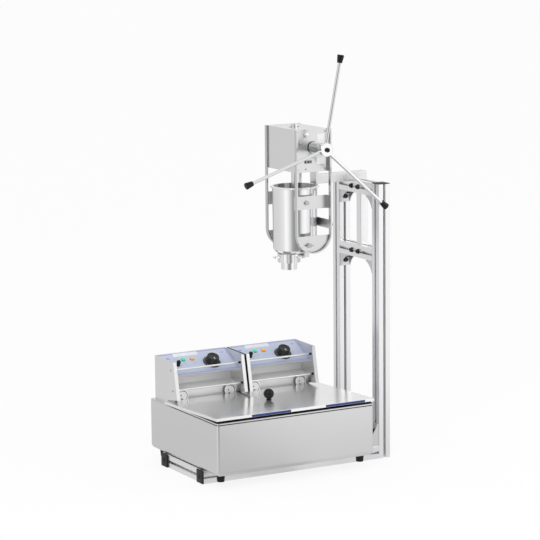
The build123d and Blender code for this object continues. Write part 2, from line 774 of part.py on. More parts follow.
nozzle_flange_z = neck_bottom_z - running_clearance - nozzle_flange
star_turn = 360 / star_points
with BuildPart() as star_nozzle:
    with BuildSketch(Plane.XY.offset(nozzle_bottom_z)):
        with Locations((nozzle_x, rack_y)):
            Circle(nozzle_radius)
    extrude(amount=nozzle_flange_z - nozzle_bottom_z)
    with BuildSketch(Plane.XY.offset(nozzle_flange_z)):
        with Locations((nozzle_x, rack_y)):
            Circle(neck_radius)
    extrude(amount=nozzle_flange)
    with BuildSketch(Plane.XY.offset(nozzle_bottom_z + star_plate)):
        with Locations((nozzle_x, rack_y)):
            Circle(neck_bore)
    extrude(amount=neck_bottom_z - nozzle_bottom_z, mode=Mode.SUBTRACT)
    with BuildSketch(Plane(origin=(nozzle_x, rack_y, nozzle_bottom_z))):
        with BuildLine():
            corners = []
            for point in range(2 * star_points):
                reach = star_outer if point % 2 == 0 else star_inner
                spread = radians(star_turn / 2 * point)
                corners.append((reach * cos(spread), reach * sin(spread)))
            Polyline(*corners, close=True)
        make_face()
    extrude(amount=star_plate, mode=Mode.SUBTRACT)
save(star_nozzle.part, "star_nozzle")

with BuildPart() as nozzle_nut:
    with BuildSketch(Plane(origin=(nozzle_x, rack_y, nut_bottom_z))):
        Circle(nut_radius)
        with PolarLocations(nut_radius, nut_rib_count):
            Circle(nut_rib_radius)
    extrude(amount=nut_top_z - nut_bottom_z)
    for wing in range(wing_count):
        wing_turn = 180 + wing * 360 / wing_count
        with BuildSketch(Plane(origin=(nozzle_x, rack_y, wing_z)).rotated((0, 0, wing_turn))):
            SlotCenterToCenter(2 * (wing_reach - wing_width / 2), wing_width)
            with Locations((-wing_reach, 0)):
                Rectangle(2 * wing_reach, 2 * wing_width, mode=Mode.SUBTRACT)
        extrude(amount=wing_thickness)
    with BuildSketch(Plane(origin=(nozzle_x, rack_y, nut_bottom_z + nut_lip))):
        Circle(neck_radius + 2 * running_clearance)
    extrude(amount=nut_top_z - nut_bottom_z, mode=Mode.SUBTRACT)
    with BuildSketch(Plane(origin=(nozzle_x, rack_y, nut_bottom_z))):
        Circle(nozzle_radius + 2 * running_clearance)
    extrude(amount=nut_lip, mode=Mode.SUBTRACT)
save(nozzle_nut.part, "nozzle_nut")


# ---- hoops and plates ----
def hoop(front_face_y):
    """Flat bar bent into a U, open at the top."""
    with BuildPart() as bent_bar:
        with BuildSketch(Plane.XZ.offset(-front_face_y)):
            for radius, mode in ((hoop_outer_radius, Mode.ADD), (hoop_inner_radius, Mode.SUBTRACT)):
                with Locations((hoop_mid_x, hoop_centre_z)):
                    Circle(radius, mode=mode)
                    Rectangle(2 * radius, hoop_top_z - hoop_centre_z, align=(Align.CENTER, Align.MIN),
                              mode=mode)
        extrude(amount=-bar_width)
    return bent_bar.part


save(hoop(front_hoop_y), "front_hoop")
save(hoop(rear_hoop_y), "rear_hoop")


def cross_plate(plate_y, flange_y, flange_side):
    """Plate between a hoop's legs, with its two ends turned onto them."""
    with BuildPart() as plate:
        with BuildSketch(Plane.XY.offset(cross_plate_z)):
            with Locations((hoop_mid_x, plate_y + plate_thickness / 2)):
                Rectangle(hoop_inner_right_x - hoop_inner_left_x, plate_thickness)
            for end_x, end_align in ((hoop_inner_left_x, Align.MIN), (hoop_inner_right_x, Align.MAX)):
                with Locations((end_x, plate_y)):
                    Rectangle(plate_thickness, abs(flange_y - plate_y),
                              align=(end_align, Align.MAX if flange_side < 0 else Align.MIN))
        extrude(amount=cross_plate_height)
        with BuildSketch(Plane.XZ.offset(-plate_y)):
            with Locations((clamp_screw_x, cross_screw_z)):
                Circle(clamp_screw_radius + running_clearance)
        extrude(amount=-plate_thickness, mode=Mode.SUBTRACT)
    return plate.part


with BuildPart() as cross_plates:
    add(cross_plate(front_cross_plate_y, gearbox_front_y - cross_flange, -1))
    add(cross_plate(rear_cross_plate_y, rear_hoop_y + cross_flange, 1))
save(cross_plates.part, "cross_plates")

front_cradle_y = gearbox_front_y - plate_thickness
rear_cradle_y = rear_hoop_y
with BuildPart() as cradle_plates:
    for plate_y in (front_cradle_y, rear_cradle_y):
        with BuildSketch(Plane.XZ.offset(-plate_y)):
            with Locations((hoop_mid_x, hoop_centre_z)):
                Circle(hoop_inner_radius - plate_edge_clearance)
            with Locations((hoop_mid_x, cradle_top_z)):
                Rectangle(hoop_width, hoop_width, align=(Align.CENTER, Align.MIN), mode=Mode.SUBTRACT)
            with Locations((clamp_screw_x, cradle_screw_z)):
                Circle(clamp_screw_radius + running_clearance, mode=Mode.SUBTRACT)
        extrude(amount=-plate_thickness)
save(cradle_plates.part, "cradle_plates")

with BuildPart() as side_bar:
    with BuildSketch(Plane(origin=(hoop_right_x, front_hoop_y, side_bar_z), x_dir=(0, 1, 0),
                           z_dir=(1, 0, 0))):
        with Locations((bar_width / 4, 0)):
            Rectangle(gearbox_depth + bar_width / 2, side_bar_height, align=(Align.MIN, Align.MIN))
    extrude(amount=side_bar_thickness)
save(side_bar.part, "side_bar")


def cylinder_radius_at(z):
    """Outside radius of the dough cylinder at a height."""
    share = (z - cylinder_bottom_z) / (cylinder_top_z - cylinder_bottom_z)
    return cylinder_outer_bottom + (cylinder_outer_top - cylinder_outer_bottom) * share


def cylinder_face_distance(z):
    """From the cylinder's axis plane to its wall, along Y, at the clamp screws' X."""
    return sqrt(cylinder_radius_at(z) ** 2 - (clamp_screw_x - rack_x) ** 2)


with BuildPart() as clamp_screws:
    for face_y, outward in ((front_cross_plate_y, -1), (rear_cross_plate_y + plate_thickness, 1)):
        head_plane = Plane(origin=(clamp_screw_x, face_y, cross_screw_z), x_dir=(1, 0, 0),
                           z_dir=(0, outward, 0))
        shank = abs(face_y - rack_y) - cylinder_face_distance(cross_screw_z) - screw_tip_gap
        with BuildSketch(head_plane):
            Circle(clamp_head_radius)
        extrude(amount=clamp_head_height)
        with BuildSketch(head_plane):
            Circle(clamp_screw_radius)
        extrude(amount=-shank)
    for leg_y in (front_hoop_y + bar_width / 2, rear_hoop_y + bar_width / 2):
        with BuildSketch(Plane(origin=(hoop_right_x + side_bar_thickness, leg_y,
                                       side_bar_z + side_bar_height / 2), z_dir=(1, 0, 0))):
            Circle(clamp_screw_radius)
        extrude(amount=gearbox_screw_height)
save(clamp_screws.part, "clamp_screws")


def wing_screw(face_y, outward):
    """Hand screw through a cradle plate: shank, boss and a flat wing."""
    plane = Plane(origin=(clamp_screw_x, face_y, cradle_screw_z), x_dir=(1, 0, 0), z_dir=(0, outward, 0))
    shank = abs(face_y - rack_y) - cylinder_face_distance(cradle_screw_z) - screw_tip_gap
    with BuildPart() as screw:
        with BuildSketch(plane.offset(running_clearance)):
            Circle(clamp_head_radius)
        extrude(amount=wing_screw_boss)
        with BuildSketch(plane.offset(running_clearance)):
            Circle(clamp_screw_radius)
        extrude(amount=-shank)
        with BuildSketch(plane.offset(wing_screw_boss / 2)):
            SlotOverall(2 * wing_screw_reach, wing_screw_tab)
        extrude(amount=wing_screw_boss)
    return screw.part


save(wing_screw(front_cradle_y, -1), "front_wing_screw")
save(wing_screw(rear_cradle_y + plate_thickness, 1), "rear_wing_screw")

with BuildPart() as cylinder_lugs:
    for plate_face, inward in ((gearbox_front_y, 1), (rear_hoop_y, -1)):
        along = Plane(origin=(lug_x - lug_width / 2, plate_face, cylinder_bottom_z), x_dir=(0, inward, 0),
                      z_dir=(inward, 0, 0)).offset(0 if inward > 0 else -lug_width)
        with BuildSketch(along):
            Rectangle(lug_reach, lug_thickness, align=(Align.MIN, Align.MAX))
            Rectangle(plate_thickness, lug_rise, align=(Align.MIN, Align.MIN))
        extrude(amount=lug_width)
save(cylinder_lugs.part, "cylinder_lugs")

# ---- fryer housing and feet ----

def housing_block(inset, top_z):
    """Body of the housing, shrunk by an inset on its sides and bottom."""
    with BuildPart() as block:
        with BuildSketch(Plane(origin=(housing_left_x + inset, 0, housing_bottom_z + inset), x_dir=(0, 1, 0),
                               z_dir=(1, 0, 0))):
            Rectangle(housing_depth - 2 * inset, top_z - housing_bottom_z - inset,
                      align=(Align.CENTER, Align.MIN))
        extrude(amount=housing_width - 2 * inset)
        fillet(block.edges().filter_by(Axis.Z), housing_edge_radius - inset)
        rear_bottom = block.edges().filter_by(Axis.X).group_by(Axis.Z)[0].sort_by(Axis.Y)[-1]
        fillet(rear_bottom, housing_rear_radius - inset)
    return block.part


with BuildPart() as fryer_housing:
    add(housing_block(0, housing_top_z))
    add(housing_block(housing_wall, housing_top_z + housing_wall), mode=Mode.SUBTRACT)
save(fryer_housing.part, "fryer_housing")

foot_taper = degrees(atan2(foot_top_radius - foot_bottom_radius, foot_height))
with BuildPart() as fryer_feet:
    with BuildSketch(Plane(origin=(housing_mid_x, 0, housing_bottom_z), x_dir=(1, 0, 0), z_dir=(0, 0, -1))):
        with GridLocations(housing_width - 2 * foot_inset_x, housing_depth - 2 * foot_inset_y, 2, 2):
            Circle(foot_top_radius)
    extrude(amount=foot_height, taper=foot_taper)
save(fryer_feet.part, "fryer_feet")

# ---- frying tank ----
pan_front_y = housing_front_y + tank_front_margin
pan_width = housing_width - 2 * tank_side_margin
pan_depth = tank_rear_y - pan_front_y
pan_mid_y = pan_front_y + pan_depth / 2
rim_seam_z = housing_top_z + tank_seam_height


def tank_outline(inset):
    RectangleRounded(housing_width - 2 * inset, housing_depth - 2 * inset, housing_edge_radius - inset)


with BuildPart() as frying_tank:
    with BuildSketch(Plane(origin=(housing_mid_x, 0, housing_top_z))):
        tank_outline(tank_seam_depth)
    extrude(amount=tank_rim_height)
    with BuildSketch(Plane(origin=(housing_mid_x, 0, rim_seam_z))):
        tank_outline(0)
    extrude(amount=rim_top_z - rim_seam_z)
    with BuildSketch(Plane(origin=(housing_mid_x, 0, deck_top_z))):
        tank_outline(tank_rim_width)
    extrude(amount=tank_rim_height, mode=Mode.SUBTRACT)
    with BuildSketch(Plane(origin=(housing_mid_x, tank_rim_rear_y, deck_top_z))):
        Rectangle(housing_width, housing_depth, align=(Align.CENTER, Align.MIN))
    extrude(amount=tank_rim_height, mode=Mode.SUBTRACT)
    with BuildSketch(Plane(origin=(housing_mid_x, pan_mid_y, tank_floor_z))):
        RectangleRounded(pan_width, pan_depth, tank_corner)
    extrude(amount=deck_top_z - tank_floor_z)
    with BuildSketch(Plane(origin=(housing_mid_x, pan_mid_y, tank_floor_z + tank_sheet))):
        RectangleRounded(pan_width - 2 * tank_sheet, pan_depth - 2 * tank_sheet, tank_corner - tank_sheet)
    extrude(amount=rim_top_z - tank_floor_z, mode=Mode.SUBTRACT)
save(frying_tank.part, "frying_tank")

# ---- lid ----
lid_side_overlap = lid_side_clearance + lid_sheet
lid_length = (lid_rear_y - housing_front_y) / cos(radians(lid_tilt))
lid_under = Plane(origin=(housing_mid_x, lid_rear_y, rim_top_z + lid_seat_gap), x_dir=(1, 0, 0),
                  z_dir=(0, sin(radians(lid_tilt)), cos(radians(lid_tilt))))
lid_outer_width = housing_width + 2 * lid_side_overlap


def lid_underside_z(y):
    return rim_top_z + lid_seat_gap + (lid_rear_y - y) * tan(radians(lid_tilt))


with BuildPart() as tank_lid:
    with BuildSketch(lid_under):
        Rectangle(lid_outer_width, lid_length, align=(Align.CENTER, Align.MAX))
    extrude(amount=lid_sheet)
    with BuildSketch(lid_under):
        for side in (-1, 1):
            with Locations((side * (lid_outer_width - lid_sheet) / 2, 0)):
                Rectangle(lid_sheet, lid_length, align=(Align.CENTER, Align.MAX))
        with Locations((0, -lid_length)):
            Rectangle(lid_outer_width, lid_sheet, align=(Align.CENTER, Align.MIN))
    extrude(amount=-(lid_flange - lid_sheet))
save(tank_lid.part, "tank_lid")

lid_seat_z = lid_underside_z(lid_knob_y) + lid_sheet / cos(radians(lid_tilt))
knob_plane = Plane(origin=(lid_knob_x, lid_knob_y, lid_seat_z), x_dir=(1, 0, 0), z_dir=lid_under.z_dir)
with BuildPart() as lid_knob:
    with BuildSketch(knob_plane):
        Circle(lid_stem_radius)
    extrude(amount=lid_stem_height + lid_knob_radius / 2)
    with Locations(knob_plane.offset(lid_stem_height + lid_knob_radius)):
        Sphere(lid_knob_radius)
save(lid_knob.part, "lid_knob")

bumper_y = housing_front_y + lid_sheet + bumper_radius
bumper_bottom_z = rim_top_z + lid_seat_gap
bumper_top = Plane(origin=(housing_mid_x, bumper_y, lid_underside_z(bumper_y)), x_dir=(1, 0, 0),
                   z_dir=lid_under.z_dir)
with BuildPart() as lid_bumpers:
    with BuildSketch(Plane(origin=(housing_mid_x, bumper_y, bumper_bottom_z))):
        with GridLocations(housing_width - 2 * bumper_inset, 1, 2, 1):
            Circle(bumper_radius)
    extrude(amount=bumper_top.origin.Z + bumper_radius - bumper_bottom_z)
    with BuildSketch(bumper_top):
        Rectangle(housing_width, 4 * bumper_radius)
    extrude(amount=2 * bumper_radius, mode=Mode.SUBTRACT)
save(lid_bumpers.part, "lid_bumpers")


# ---- control heads ----
def cheek_outline():
    Polyline((head_rear_y, deck_top_z), (head_rear_y, head_top_z), (head_brow_y, head_brow_z),
             (head_nose_y, head_nose_z), (head_foot_y, head_foot_z), (head_foot_y, deck_top_z), close=True)


def head_casing(left_x):
    """Sheet casing: two cheeks with turned-in front edges, rear wall, floor and two cross rods."""
    right_x = left_x + head_width
    nose_angle = atan2(head_brow_z - head_nose_z, head_brow_y - head_nose_y)
    front_length = (head_brow_z - head_nose_z) / sin(nose_angle)
    slant = Plane(origin=(left_x + head_width / 2, head_nose_y, head_nose_z), x_dir=(1, 0, 0),
                  z_dir=(0, -sin(nose_angle), cos(nose_angle)))
    with BuildPart() as casing:
        for cheek_x in (left_x, right_x - head_sheet):
            with BuildSketch(Plane(origin=(cheek_x, 0, 0), x_dir=(0, 1, 0), z_dir=(1, 0, 0))):
                with BuildLine():
                    cheek_outline()
                make_face()
            extrude(amount=head_sheet)
        with BuildSketch(slant):
            for side in (-1, 1):
                with Locations((side * (head_width - head_flange) / 2, 0)):
                    Rectangle(head_flange, front_length, align=(Align.CENTER, Align.MIN))
        extrude(amount=-head_sheet)
        with BuildSketch(Plane(origin=(left_x, 0, deck_top_z))):
            with Locations((0, head_rear_y)):
                Rectangle(head_width, head_rear_y - recess_y - fascia_sheet - running_clearance,
                          align=(Align.MIN, Align.MAX))
        extrude(amount=head_sheet)
        with BuildSketch(Plane(origin=(left_x, 0, deck_top_z))):
            with Locations((0, head_rear_y)):
                Rectangle(head_width, head_sheet, align=(Align.MIN, Align.MAX))
        extrude(amount=head_top_z - deck_top_z)
        for rod_y, rod_z in (upper_rod, lower_rod):
            with BuildSketch(Plane(origin=(left_x, rod_y, rod_z), z_dir=(1, 0, 0))):
                Circle(rod_radius)
            extrude(amount=head_width)
    return casing.part


def head_fascia(left_x):
    """Sloping control panel, with its front edge turned down and holes for knob and button."""
    inner_width = head_width - 2 * head_sheet - 2 * running_clearance
    end_drop = fascia_sheet * sin(radians(fascia_slope))
    rear_end_y = head_rear_y - head_sheet - running_clearance - end_drop
    slope_length = (rear_end_y - fascia_front_y) / cos(radians(fascia_slope))
    face = fascia_plane(left_x + head_width / 2, fascia_front_y)
    with BuildPart() as fascia:
        with BuildSketch(face):
            Rectangle(inner_width, slope_length, align=(Align.CENTER, Align.MIN))
        extrude(amount=-fascia_sheet)
        with BuildSketch(face.offset(-fascia_sheet)):
            Rectangle(inner_width, fascia_sheet, align=(Align.CENTER, Align.MIN))
        extrude(amount=-fascia_lip)
        with BuildSketch(fascia_plane(left_x + dial_offset, dial_y)):
            Circle(spindle_radius + running_clearance)
        extrude(amount=-fascia_sheet, mode=Mode.SUBTRACT)
        with BuildSketch(fascia_plane(left_x + button_offset, button_y)):
            Circle(button_radius + running_clearance)
        extrude(amount=-fascia_sheet, mode=Mode.SUBTRACT)
    return fascia.part


def recess_plate(left_x):
    """Folded front wall under the fascia: an upper plate set back, a ledge and a lower plate."""
    side_gap = head_sheet + running_clearance
    plate_top_z = fascia_z(recess_upper_y) - fascia_sheet / cos(radians(fascia_slope)) - running_clearance
    with BuildPart() as plate:
        with BuildSketch(Plane(origin=(left_x + side_gap, 0, 0), x_dir=(0, 1, 0), z_dir=(1, 0, 0))):
            with BuildLine() as front_face:
                Polyline((recess_y, deck_top_z), (recess_y, recess_ledge_z),
                         (recess_upper_y, recess_shelf_z), (recess_upper_y, plate_top_z))
                offset(amount=fascia_sheet, side=Side.RIGHT)
            make_face()
        extrude(amount=head_width - 2 * side_gap)
    return plate.part


def lamps(left_x):
    with BuildPart() as pair:
        for offset_x in lamp_offsets:
            with BuildSketch(fascia_plane(left_x + offset_x, lamp_y)):
                Circle(lamp_radius)
            extrude(amount=lamp_height)
        rims = pair.edges().filter_by(GeomType.CIRCLE).group_by(Axis.Z)[-1]
        fillet(rims, lamp_rounding)
    return pair.part


def thermostat_knob(left_x):
    """Knob with its wide skirt and the spindle under it."""
    seat = fascia_plane(left_x + dial_offset, dial_y, loose_clearance)
    with BuildPart() as knob:
        with BuildSketch(seat):
            Circle(skirt_radius)
        extrude(amount=skirt_height, taper=skirt_taper)
        with BuildSketch(seat.offset(skirt_height)):
            Circle(knob_radius)
        extrude(amount=knob_height, taper=knob_taper)
        fillet(knob.faces().sort_by(Axis.Z)[-1].edges(), knob_rounding)
        with BuildSketch(seat):
            Circle(spindle_radius)
        extrude(amount=-spindle_depth)
    return knob.part


def reset_button(left_x):
    seat = fascia_plane(left_x + button_offset, button_y, -button_depth)
    with BuildPart() as button:
        with BuildSketch(seat):
            Circle(button_radius)
        extrude(amount=button_depth + button_height)
        fillet(button.faces().sort_by(Axis.Z)[-1].edges(), button_rounding)
    return button.part


def heating_element(left_x):
    """Bent tube that hangs in the oil from two round shrouds on the recess plate."""
    first_x, last_x = (left_x + offset_x for offset_x in shroud_offsets)
    with BuildPart() as element:
        with BuildLine():
            FilletPolyline((first_x, element_y, shroud_z), (first_x, element_y, element_z),
                           (first_x, element_front_y, element_z), (last_x, element_front_y, element_z),
                           (last_x, element_y, element_z), (last_x, element_y, shroud_z), radius=element_bend)
        with BuildSketch(Plane(origin=(first_x, element_y, shroud_z), z_dir=(0, 0, -1))):
            Circle(element_radius)
        sweep()
        for shroud_x in (first_x, last_x):
            front = Plane(origin=(shroud_x, shroud_front_y, shroud_z), x_dir=(1, 0, 0), z_dir=(0, -1, 0))
            with BuildSketch(front):
                Circle(shroud_radius)
            extrude(amount=-(recess_y - shroud_front_y))
            with BuildSketch(front):
                Circle(shroud_radius - shroud_ring)
            extrude(amount=-shroud_recess, mode=Mode.SUBTRACT)
    return element.part


for side, left_x in zip(("left", "right"), head_left_x):
    save(head_casing(left_x), f"{side}_head_casing")
    save(head_fascia(left_x), f"{side}_head_fascia")
    save(recess_plate(left_x), f"{side}_recess_plate")
    save(lamps(left_x), f"{side}_lamps")
    save(thermostat_knob(left_x), f"{side}_thermostat_knob")
    save(reset_button(left_x), f"{side}_reset_button")
    save(heating_element(left_x), f"{side}_heating_element")
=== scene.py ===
from math import asin, cos, pi, radians, sin, tan

import bmesh
import bpy
from mathutils import Matrix, Vector


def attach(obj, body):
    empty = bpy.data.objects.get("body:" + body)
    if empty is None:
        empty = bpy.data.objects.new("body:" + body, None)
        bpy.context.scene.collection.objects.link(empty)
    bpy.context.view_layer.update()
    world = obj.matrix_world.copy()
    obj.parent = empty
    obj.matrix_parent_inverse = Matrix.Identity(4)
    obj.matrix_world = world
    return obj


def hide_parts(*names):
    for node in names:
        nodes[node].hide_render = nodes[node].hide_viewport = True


# Looks of the churro maker: camera, light, finishes, and small parts that its solids leave out.
# New pieces are modelled in millimetres on the CAD part's own axes and brought to metres at the
# end. Lengths in the finishes are in metres, as object coordinates are.

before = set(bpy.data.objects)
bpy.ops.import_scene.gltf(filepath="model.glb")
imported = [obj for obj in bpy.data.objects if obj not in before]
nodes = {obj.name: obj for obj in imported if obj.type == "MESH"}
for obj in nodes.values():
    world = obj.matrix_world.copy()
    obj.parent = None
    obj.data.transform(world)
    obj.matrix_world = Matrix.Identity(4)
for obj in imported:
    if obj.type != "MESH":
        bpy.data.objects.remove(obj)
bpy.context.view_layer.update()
scene = bpy.context.scene
MM = 0.001

# ---- camera, fitted to the photograph ----
camera_spot = (-3.4718, -6.2404, 1.7882)
azimuth, pitch, roll = radians(28.944), radians(-9.458), radians(-0.548)
camera_data = bpy.data.cameras.new("camera")
camera_data.sensor_width = 36.0
camera_data.lens = 158.77
camera_data.clip_end = 250.0
camera = bpy.data.objects.new("camera", camera_data)
scene.collection.objects.link(camera)
forward = Vector((sin(azimuth) * cos(pitch), cos(azimuth) * cos(pitch), sin(pitch)))
level_right = forward.cross(Vector((0, 0, 1))).normalized()
level_up = level_right.cross(forward)
right = level_right * cos(roll) + level_up * sin(roll)
up = level_up * cos(roll) - level_right * sin(roll)
axes = Matrix((right, up, -forward)).transposed().to_4x4()
camera.matrix_world = Matrix.Translation(camera_spot) @ axes
scene.camera = camera


# ---- finishes ----
class Value:
    """A shader socket that takes part in sums: each operator adds a Math node."""

    def __init__(self, finish, socket):
        self.finish = finish
        self.socket = socket

    def maths(self, operation, *terms):
        return self.finish.node("ShaderNodeMath", {"operation": operation}, *terms)

    def __add__(self, other):
        return self.maths("ADD", self, other)

    def __sub__(self, other):
        return self.maths("SUBTRACT", self, other)

    def __rsub__(self, other):
        return self.maths("SUBTRACT", other, self)

    def __mul__(self, other):
        return self.maths("MULTIPLY", self, other)

    def __lt__(self, other):
        return self.maths("LESS_THAN", self, other)

    def __gt__(self, other):
        return self.maths("GREATER_THAN", self, other)

    def most(self, other):
        return self.maths("MAXIMUM", self, other)

    def size(self):
        return self.maths("ABSOLUTE", self)

    __radd__ = __add__
    __rmul__ = __mul__


class Finish:
    """A node material around one Principled shader."""

    def __init__(self, name, colour, roughness, metallic=0.0, **others):
        self.name = name
        self.material = bpy.data.materials.new(name)
        self.material.use_nodes = True
        self.tree = self.material.node_tree
        self.shader = self.tree.nodes["Principled BSDF"]
        self.set("Base Color", colour)
        self.set("Roughness", roughness)
        self.set("Metallic", metallic)
        for socket, value in others.items():
            self.set(socket.replace("_", " "), value)

    def keep(self):
        """Lists the finish under its name, for the pieces to choose from."""
        finishes[self.name] = self.material

    def feed(self, socket, value):
        if isinstance(value, Value):
            self.tree.links.new(value.socket, socket)
        elif socket.type == "RGBA" and len(value) == 3:
            socket.default_value = (*value, 1.0)
        else:
            socket.default_value = value

    def set(self, name, value):
        self.feed(self.shader.inputs[name], value)

    def node(self, kind, settings, *values, output=0):
        """New node: its settings first, then the values or links of its usable sockets."""
        made = self.tree.nodes.new(kind)
        for name, value in settings.items():
            if name == "stops":
                self.set_stops(made.color_ramp.elements, value)
            else:
                setattr(made, name, value)
        usable = [socket for socket in made.inputs if socket.enabled]
        for place, value in enumerate(values):
            if value is not None:
                self.feed(usable[place], value)
        usable_outputs = [socket for socket in made.outputs if socket.enabled]
        return Value(self, usable_outputs[output])

    def set_stops(self, elements, stops):
        """A grey ramp: pairs of place and level, in rising order."""
        for place, level in stops[1:-1]:
            elements.new(place).color = (level, level, level, 1.0)
        for element, (place, level) in ((elements[0], stops[0]), (elements[-1], stops[-1])):
            element.position = place
            element.color = (level, level, level, 1.0)

    def place(self, stretch=(1.0, 1.0, 1.0), start=(0.0, 0.0, 0.0)):
        """Object coordinates, stretched and moved."""
        spot = self.node("ShaderNodeTexCoord", {}, output=3)
        settings = {"vector_type": "POINT"}
        return self.node("ShaderNodeMapping", settings, spot, start, None, stretch)

    def split(self, spot):
        """The parts of a place along X, Y and Z."""
        across = self.node("ShaderNodeSeparateXYZ", {}, spot)
        return [Value(self, socket) for socket in across.socket.node.outputs]

    def length(self, vector):
        return self.node("ShaderNodeVectorMath", {"operation": "LENGTH"}, vector)

    def noise(self, spot, scale, detail=2.0):
        return self.node("ShaderNodeTexNoise", {}, spot, scale, detail)

    def ramp(self, value, low, high, first=0.0, last=1.0, kind="LINEAR"):
        """Value carried from low..high to first..last, and held beyond them."""
        settings = {"interpolation_type": kind}
        return self.node("ShaderNodeMapRange", settings, value, low, high, first, last)

    def mix(self, share, first, second):
        return self.node("ShaderNodeMix", {"data_type": "RGBA"}, share, first, second)

    def bump(self, height, strength, distance):
        filter_width = 0.1
        return self.node("ShaderNodeBump", {}, strength, distance, filter_width, height)

    def polish(self, grain):
        """Noise of the polish: lines stretched along the grain, and a cloud."""
        lines = self.noise(self.place(grain), line_scale, 3.0)
        cloud = self.noise(self.place(), cloud_scale, 3.0)
        return lines, cloud


finishes = {}
along_x, along_y, along_z = (0.6, 60.0, 60.0), (60.0, 0.6, 60.0), (60.0, 60.0, 0.6)
even, round_z = (60.0, 60.0, 60.0), (0.6, 0.6, 60.0)
silver = (0.82, 0.82, 0.83)
darkest, palest = 0.86, 1.14
line_scale, cloud_scale = 12.0, 14.0
fine_grain = 0.00002
fascia_front_y, fascia_rear_y, fascia_front_z = 114.0, 206.7, 281.0
fascia_slope = radians(28.2)


def grey(level):
    return level, level, level


def shade(colour, factor):
    return tuple(min(1.0, channel * factor) for channel in colour)


def metal(name, colour, roughness, grain, depth=fine_grain, mottle=0.05, streak=0.05, metallic=1.0):
    """Metal with grain along an axis, faint mottling and a little smearing in its polish."""
    finish = Finish(name, colour, roughness, metallic)
    lines, cloud = finish.polish(grain)
    tone = (lines - 0.5) * streak * 2 + (cloud - 0.5) * mottle * 2 + 0.5
    finish.set("Base Color", finish.mix(tone, shade(colour, darkest), shade(colour, palest)))
    finish.set("Roughness", (cloud - 0.5) * 0.12 + (lines - 0.5) * 0.1 + roughness)
    finish.set("Normal", finish.bump(lines, 0.25, depth))
    finish.keep()


def moulded(name, colour, roughness, grain_size=900.0, depth=0.00003, **others):
    """Moulded plastic or rubber: fine grain, with a slightly paler bloom in places."""
    finish = Finish(name, colour, roughness, 0.0, **others)
    grain = finish.noise(finish.place(), grain_size)
    cloud = finish.noise(finish.place(), 35.0, 3.0)
    finish.set("Base Color", finish.mix(cloud, shade(colour, 0.8), shade(colour, 1.25)))
    finish.set("Roughness", (cloud - 0.5) * 0.16 + roughness)
    finish.set("Normal", finish.bump(grain, 0.3, depth))
    finish.keep()


def printed(name, colour, roughness):
    """Ink or film on a flat face: hardly any grain."""
    moulded(name, colour, roughness, 500.0, 0.00001)


def lens(name, colour, glow, strength):
    """Clear coloured plastic, lit a little from within."""
    moulded(name, colour, 0.2, 900.0, 0.00001, Coat_Weight=0.3, Emission_Color=glow,
            Emission_Strength=strength)


metal("profile_x", (0.80, 0.80, 0.815), 0.34, along_x)
metal("profile_y", (0.86, 0.86, 0.87), 0.34, along_y)
metal("profile_z", (0.84, 0.84, 0.85), 0.34, along_z)
metal("housing_steel", grey(0.70), 0.33, along_x, mottle=0.03, streak=0.04)
metal("plate_steel", (0.66, 0.66, 0.665), 0.30, along_x)
metal("recess_steel", grey(0.90), 0.36, along_x, mottle=0.03, metallic=0.15)
metal("bar_steel", (0.70, 0.70, 0.705), 0.1, along_z, mottle=0.02, streak=0.01)
metal("disc_steel", grey(0.80), 0.3, even, metallic=0.6)
metal("brushed_z", grey(0.72), 0.30, along_z)
metal("gearbox_steel", (0.75, 0.75, 0.755), 0.24, along_z, mottle=0.02, streak=0.03)
metal("face_steel", (0.66, 0.66, 0.665), 0.22, along_x, mottle=0.02, streak=0.03)
metal("strap_steel", (0.62, 0.62, 0.625), 0.2, along_z, mottle=0.03, streak=0.02)
metal("polished", silver, 0.12, along_z, mottle=0.03, streak=0.02)
metal("lid_steel", grey(0.84), 0.2, along_x, mottle=0.04, streak=0.04, metallic=0.85)
metal("bright", (0.84, 0.84, 0.845), 0.08, along_z, mottle=0.02, streak=0.01)
metal("turned", (0.70, 0.70, 0.71), 0.25, even)
metal("cast", (0.66, 0.66, 0.67), 0.42, even, depth=0.00008, mottle=0.08)
metal("bolt", (0.45, 0.45, 0.46), 0.25, even)
metal("dark_bolt", (0.05, 0.05, 0.052), 0.3, even)
metal("bronze", (0.60, 0.42, 0.20), 0.3, even)
moulded("black", (0.014, 0.014, 0.015), 0.42, Specular_IOR_Level=0.22)
moulded("gloss_black", (0.008, 0.008, 0.009), 0.12, Specular_IOR_Level=0.22)
moulded("dial_black", grey(0.016), 0.38, Specular_IOR_Level=0.3)
moulded("rubber", (0.014, 0.014, 0.015), 0.6, Specular_IOR_Level=0.2)
moulded("seal", (0.72, 0.72, 0.69), 0.5)
moulded("tick", grey(0.66), 0.4)
printed("label", (0.90, 0.90, 0.91), 0.4)
printed("pale_label", (0.76, 0.79, 0.90), 0.35)
printed("violet_ink", (0.34, 0.36, 0.60), 0.4)
printed("grey_ink", (0.38, 0.42, 0.58), 0.4)
printed("blue_strip", (0.012, 0.036, 0.17), 0.35)
lens("green_lens", (0.0, 0.55, 0.22), (0.0, 0.55, 0.2), 0.35)
lens("amber_lens", (0.95, 0.32, 0.01), (1.0, 0.3, 0.01), 0.25)


